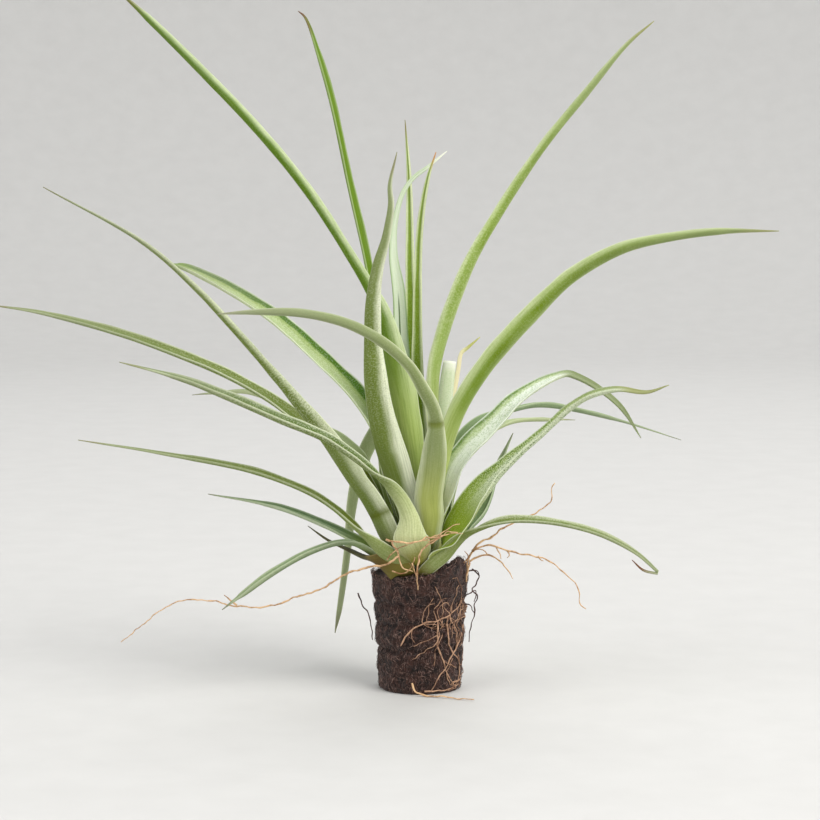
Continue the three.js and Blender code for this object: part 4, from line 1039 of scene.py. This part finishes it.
def make_leaf(number, name, leaf):
    corners, values = leaf_rings(name, leaf, random.Random(number))
    rows, size = corners.shape[:2]
    faces = ring_faces(rows, size)
    # The two ends are closed by strips between the faces of the blade.
    for first, turned in ((0, True), ((rows - 1) * size, False)):
        for i in range(COLUMNS_ACROSS - 1):
            low = (first + i, first + i + 1)
            high = (first + (size - i - 1) % size, first + (size - i) % size)
            corner_loop = [low[0], low[1], high[0], high[1]]
            loop = [c for k, c in enumerate(corner_loop) if c not in corner_loop[:k]]
            if len(loop) > 2:
                faces.append(tuple(reversed(loop)) if turned else tuple(loop))
    shape = Shape()
    shape.add(corners.reshape(-1, 3), faces, **values)
    slot = "dry_leaf" if name in DRY_LEAVES else "leaf"
    shape.piece("fine_" + name, LeafFinish(name, number, PAINT[name]).material, slot, name)


def plug_radius(height):
    return PLUG_FOOT_RADIUS + (PLUG_TOP_RADIUS - PLUG_FOOT_RADIUS) * height / PLUG_HEIGHT


def felt(azimuth, height):
    """How far the felt stands out of the plug's plain cone, in millimetres."""
    place = Vector(around(azimuth, plug_radius(height), height))
    relief = FELT_RELIEF * noise.fractal(place / FELT_LUMP, 0.7, 2.3, 5)
    for groove in PLUG_GROOVES:
        sway = GROOVE_SWAY * noise.noise(Vector((math.radians(azimuth) * 1.5, groove, 0)))
        relief -= GROOVE_DEPTH * math.exp(-(((height - groove - sway) / GROOVE_HALF_HEIGHT) ** 2))
    return relief * min(1, height / FELT_FOOT)


def rim_height(azimuth):
    """The torn rim, which stands higher on the plug's right."""
    tear = RIM_TEAR * noise.fractal(Vector(around(azimuth, 3.2, 40)), 0.6, 2.4, 4)
    off = (azimuth - HIGH_RIM_AZIMUTH + 180) % 360 - 180
    return PLUG_HEIGHT + tear + HIGH_RIM * math.exp(-((off / HIGH_RIM_SPREAD) ** 2))


def make_plug():
    """The foot, the felted side up to the torn rim, and the inside of the rim down to the plug's top."""
    azimuths = np.linspace(0, 360, PLUG_SIDES, endpoint=False)
    rims = [rim_height(azimuth) for azimuth in azimuths]
    rings = [circle(azimuths, radius, 0) for radius in PLUG_FOOT_RINGS]
    for share in np.linspace(PLUG_FIRST_ROW, 1, PLUG_ROWS):
        ring = []
        pinch = RIM_PINCH * max(0, (share - 1 + PINCHED_SHARE) / PINCHED_SHARE) ** 2
        for azimuth, rim in zip(azimuths, rims):
            height = share * rim
            radius = plug_radius(min(height, PLUG_HEIGHT)) + felt(azimuth, height) - pinch
            ring.append(around(azimuth, radius, height))
        rings.append(ring)
    for inwards, drop in RIM_INSIDE:
        ring = []
        for azimuth, rim in zip(azimuths, rims):
            height = max(PLUG_FLOOR, rim - drop * (rim - PLUG_FLOOR)) if drop else rim - 0.05
            radius = plug_radius(PLUG_HEIGHT) - RIM_WALL * inwards + 0.3 * felt(azimuth, rim)
            ring.append(around(azimuth, radius, height - 0.2 * drop))
        rings.append(ring)
    rings.append(circle(azimuths, PEG_RADIUS + 1, PLUG_FLOOR - 0.2))
    shape = Shape()
    shape.add(np.array(rings).reshape(-1, 3), closed_faces(len(rings), PLUG_SIDES))
    shape.piece("fine_plug", plug_finish(), "plug_fibre", "plug")


def add_strand(shape, points, radii, sides, tone):
    """Adds a closed tube round a row of points."""
    points = np.asarray(points, float)
    forward = unit(np.gradient(points, axis=0))
    side = np.cross(forward[0], STRAND_START)
    turns = np.arange(sides) * 2 * math.pi / sides
    rings = []
    for point, ahead, radius in zip(points, forward, radii):
        side = side - ahead * np.dot(side, ahead)
        side /= np.linalg.norm(side)
        other = np.cross(ahead, side)
        rings.append(point + radius * (np.cos(turns)[:, None] * side + np.sin(turns)[:, None] * other))
    tones = np.repeat(np.broadcast_to(tone, len(points)), sides)
    shape.add(np.vstack(rings), closed_faces(len(rings), sides), tone=tones)


def add_root(shape, points, draw, radius=ROOT_RADIUS, end_radius=ROOT_END_RADIUS, tone=0.65):
    """A root along given points, with small kinks, thinner towards its end."""
    course = Course(points)
    t, reach = course.even(ROOT_STEP)
    line = course.at(t)[0]
    ends = np.minimum(1, np.minimum(reach, reach[-1] - reach) / ROOT_STRAIGHT_END)
    for axis in range(3):
        line[:, axis] += ROOT_KINK * ends * wobble(draw, reach, 7, 1.6, 5)
    radii = radius + (end_radius - radius) * (reach / reach[-1]) ** ROOT_TAPER
    radii *= 1 + ROOT_SWELL * wobble(draw, reach, 5, 0.9, 5)
    tones = tone + ROOT_MOTTLE * wobble(draw, reach, 12, 3)
    add_strand(shape, line, radii, ROOT_SIDES, tones)


def add_fibre(shape, draw, azimuth, height, heading, length, lift, tone):
    """A thread of the felt, which wanders over the plug's side with its ends tucked in."""
    points = []
    steps = max(4, round(length / FIBRE_STEP))
    for step in range(steps + 1):
        arch = math.sin(math.pi * step / steps)
        base = plug_radius(min(height, PLUG_HEIGHT)) + felt(azimuth, height)
        points.append(around(azimuth, base - FIBRE_TUCK + lift * arch, max(height, FIBRE_LOWEST)))
        heading += draw.gauss(0, FIBRE_WANDER)
        azimuth += math.degrees(FIBRE_STEP * math.cos(heading) / PLUG_TOP_RADIUS)
        height += FIBRE_STEP * math.sin(heading)
        height = min(height, rim_height(azimuth) + FIBRE_OVER_RIM)
    radii = [FIBRE_RADIUS * draw.uniform(0.7, 1.3)] * len(points)
    radii[-1] *= 0.4
    add_strand(shape, points, radii, 3, tone)


def make_fibres():
    shape = Shape()
    draw = random.Random(FIBRE_SEED)
    for _ in range(FIBRE_COUNT):
        azimuth = draw.uniform(0, 360)
        height = draw.uniform(0.3, PLUG_HEIGHT - 0.3)
        heading = draw.uniform(0, 2 * math.pi)
        length = draw.uniform(0.9, 2.6)
        lift = draw.choice([0.06, 0.1, 0.16, 0.3])
        add_fibre(shape, draw, azimuth, height, heading, length, lift, draw.betavariate(1.2, 3.2))
    for _ in range(RIM_FIBRE_COUNT):
        azimuth = draw.uniform(0, 360)
        height = rim_height(azimuth) - draw.uniform(0, 1.2)
        heading = draw.gauss(math.pi / 2, 0.9)
        length = draw.uniform(0.9, 2)
        lift = draw.uniform(0.1, 0.4)
        add_fibre(shape, draw, azimuth, height, heading, length, lift, draw.uniform(0.1, 0.8))
    finish = fibre_finish("finish_fibres", (30, 15, 12), (178, 146, 134), 0.9)
    shape.piece("felt_fibres", finish, "plug_fibre")


def make_stem():
    """The short cone under the sheaths, with the rings that old leaves left, over its peg."""
    azimuths = np.linspace(0, 360, STEM_SIDES, endpoint=False)
    top = cone_height(CONE_TOP_RADIUS)
    peg_heights = np.linspace(PEG_FOOT, CONE_FOOT_HEIGHT - 0.3, PEG_ROWS)
    rings = [circle(azimuths, PEG_RADIUS, height) for height in peg_heights]
    for height in np.arange(CONE_FOOT_HEIGHT - STEM_INSET, top, STEM_ROW):
        radius = CONE_FOOT_RADIUS - (height - CONE_FOOT_HEIGHT) / CONE_SLOPE
        ring = []
        for azimuth in azimuths:
            sway = SCAR_SWAY * noise.noise(Vector(around(azimuth, 2, 5)))
            scar = ((height + sway) / SCAR_PITCH) % 1
            lumps = noise.fractal(Vector(around(azimuth, radius, height)) / STEM_LUMP, 0.7, 2.2, 3)
            relief = SCAR_RELIEF * (1 - scar) + STEM_RELIEF * lumps
            ring.append(around(azimuth, radius - STEM_INSET + relief, height))
        rings.append(ring)
    shape = Shape()
    shape.add(np.array(rings).reshape(-1, 3), closed_faces(len(rings), STEM_SIDES))
    shape.piece("fine_stem", stem_finish(), "stem", "stem")


def seen(roots):
    """The points of roots that are given as the eye sees them."""
    return [[in_place(*row) for row in rows] for rows in roots]


def on_plug(rows):
    """The points just over the plug's felt, from rows of (azimuth, height)."""
    points = []
    for azimuth, height in rows:
        points.append(around(azimuth, plug_radius(height) + felt(azimuth, height) + ROOT_ON_PLUG, height))
    return points


def tangle(draw, azimuth, height, turn_spread, height_spread):
    """A short strand that wanders over the plug near a place."""
    azimuth += draw.gauss(0, turn_spread / 2)
    height += draw.gauss(0, height_spread / 2)
    heading = draw.uniform(0, 2 * math.pi)
    curl = draw.gauss(0, TANGLE_CURL)
    rows = []
    for _ in range(TANGLE_STEPS):
        rows.append((azimuth, min(max(height, TANGLE_LOWEST), PLUG_HEIGHT)))
        heading += curl + draw.gauss(0, TANGLE_WANDER)
        azimuth += math.degrees(TANGLE_STEP * math.cos(heading) / PLUG_TOP_RADIUS)
        height += TANGLE_STEP * math.sin(heading)
    return on_plug(rows)


def make_roots():
    tan = fibre_finish("finish_roots", (140, 98, 66), (224, 186, 142), 0.75)
    net_tan = fibre_finish("finish_net_roots", (112, 78, 60), (198, 158, 128), 0.8)
    dark = fibre_finish("finish_dark_roots", (24, 12, 10), (84, 54, 44), 0.75)
    draw = random.Random(ROOT_SEED)

    def bunch(node, slot, finish, mains, strands=(), thin=1.0, main=1.0):
        """Makes the main roots and finer strands of a bunch, with shares of the usual thickness."""
        shape = Shape()
        for points in mains:
            add_root(shape, points, draw, ROOT_RADIUS * main)
        for points in strands:
            add_root(shape, points, draw, ROOT_RADIUS * thin, STRAND_END_RADIUS, draw.uniform(0.3, 0.8))
        shape.piece("fine_" + node, finish, slot, node)

    bunch("roots_front", "root", tan, seen(FRONT_ROOTS), seen(FRONT_STRANDS), 0.6)
    bunch("roots_right", "root", tan, seen(RIGHT_ROOTS), seen(RIGHT_STRANDS), 0.7)
    bunch("roots_plug_loops", "dark_root", dark, seen(LOOP_ROOTS), seen(LOOP_STRANDS), 0.6, 0.7)
    bunch("roots_plug_left", "dark_root", dark, seen(LEFT_ROOTS), main=0.7)
    small = []
    for azimuth, height, turn_spread, height_spread, count in TANGLES:
        small += [tangle(draw, azimuth, height, turn_spread, height_spread) for _ in range(count)]
    bunch("roots_plug_net", "root", net_tan, [on_plug(rows) for rows in NET_ROOTS], small, 0.36, 0.8)
    bunch("roots_foot", "root", tan, [FOOT_ROOT])


def make_stage():
    """A round pale floor that curves up into a wall."""
    profile = [(0.0, 0.0), (FLOOR_RADIUS / 2, 0.0), (FLOOR_RADIUS, 0.0)]
    for step in range(1, BEND_STEPS + 1):
        turn = step / BEND_STEPS * math.pi / 2
        profile.append((FLOOR_RADIUS + FLOOR_BEND * math.sin(turn), FLOOR_BEND * (1 - math.cos(turn))))
    profile.append((FLOOR_RADIUS + FLOOR_BEND, WALL_TOP))
    azimuths = np.linspace(0, 360, FLOOR_SIDES, endpoint=False)
    corners = np.vstack([circle(azimuths, max(radius, 0.001), height) for radius, height in profile])
    faces = ring_faces(len(profile), FLOOR_SIDES)
    faces.append(tuple(reversed(range(FLOOR_SIDES))))
    finish = Finish("finish_floor")
    cloth = finish.grain(finish.place(), 90, 3)
    colour = finish.mix(cloth, paint(199, 198, 196), paint(207, 206, 204))
    finish.set(Base_Color=colour, Roughness=0.9, Specular_IOR_Level=0.1)
    floor = mesh_object("floor", corners.tolist(), faces, finish.material)


def add_lamp(name, place, size, power, colour=(1, 1, 1)):
    """A square soft lamp aimed at the plant's middle."""
    lamp = bpy.data.lights.new(name, "AREA")
    lamp.size = size
    lamp.energy = power
    lamp.color = colour
    holder = new_object(name, lamp)
    holder.location = place
    aim = Vector(LAMP_AIM) - Vector(place)
    holder.rotation_euler = aim.to_track_quat("-Z", "Y").to_euler()


def make_light():
    for lamp in LAMPS:
        add_lamp(*lamp)
    world = bpy.data.worlds.new("studio")
    world.use_nodes = True
    sky = world.node_tree.nodes["Background"].inputs
    sky["Color"].default_value = paint(*SKY_COLOUR)
    sky["Strength"].default_value = SKY_STRENGTH
    bpy.context.scene.world = world
    bpy.context.scene.view_settings.view_transform = "Standard"


def make_camera():
    camera = bpy.data.cameras.new("photo_camera")
    camera.sensor_width = SENSOR_WIDTH
    camera.lens = SENSOR_WIDTH * EYE_DISTANCE / (PIXEL_AT_AIM * PHOTO_PIXELS)
    camera.clip_start = 0.01
    holder = new_object("photo_camera", camera)
    holder.location = Vector(EYE - [0, 0, SEEN_FOOT]) * MM
    holder.rotation_euler = (math.pi / 2 - EYE_ELEVATION, 0, 0)
    bpy.context.scene.camera = holder


make_camera()
make_stage()
make_light()
make_plug()
make_fibres()
make_stem()
for number, (name, leaf) in enumerate(LEAVES.items()):
    make_leaf(number, name, leaf)
make_roots()
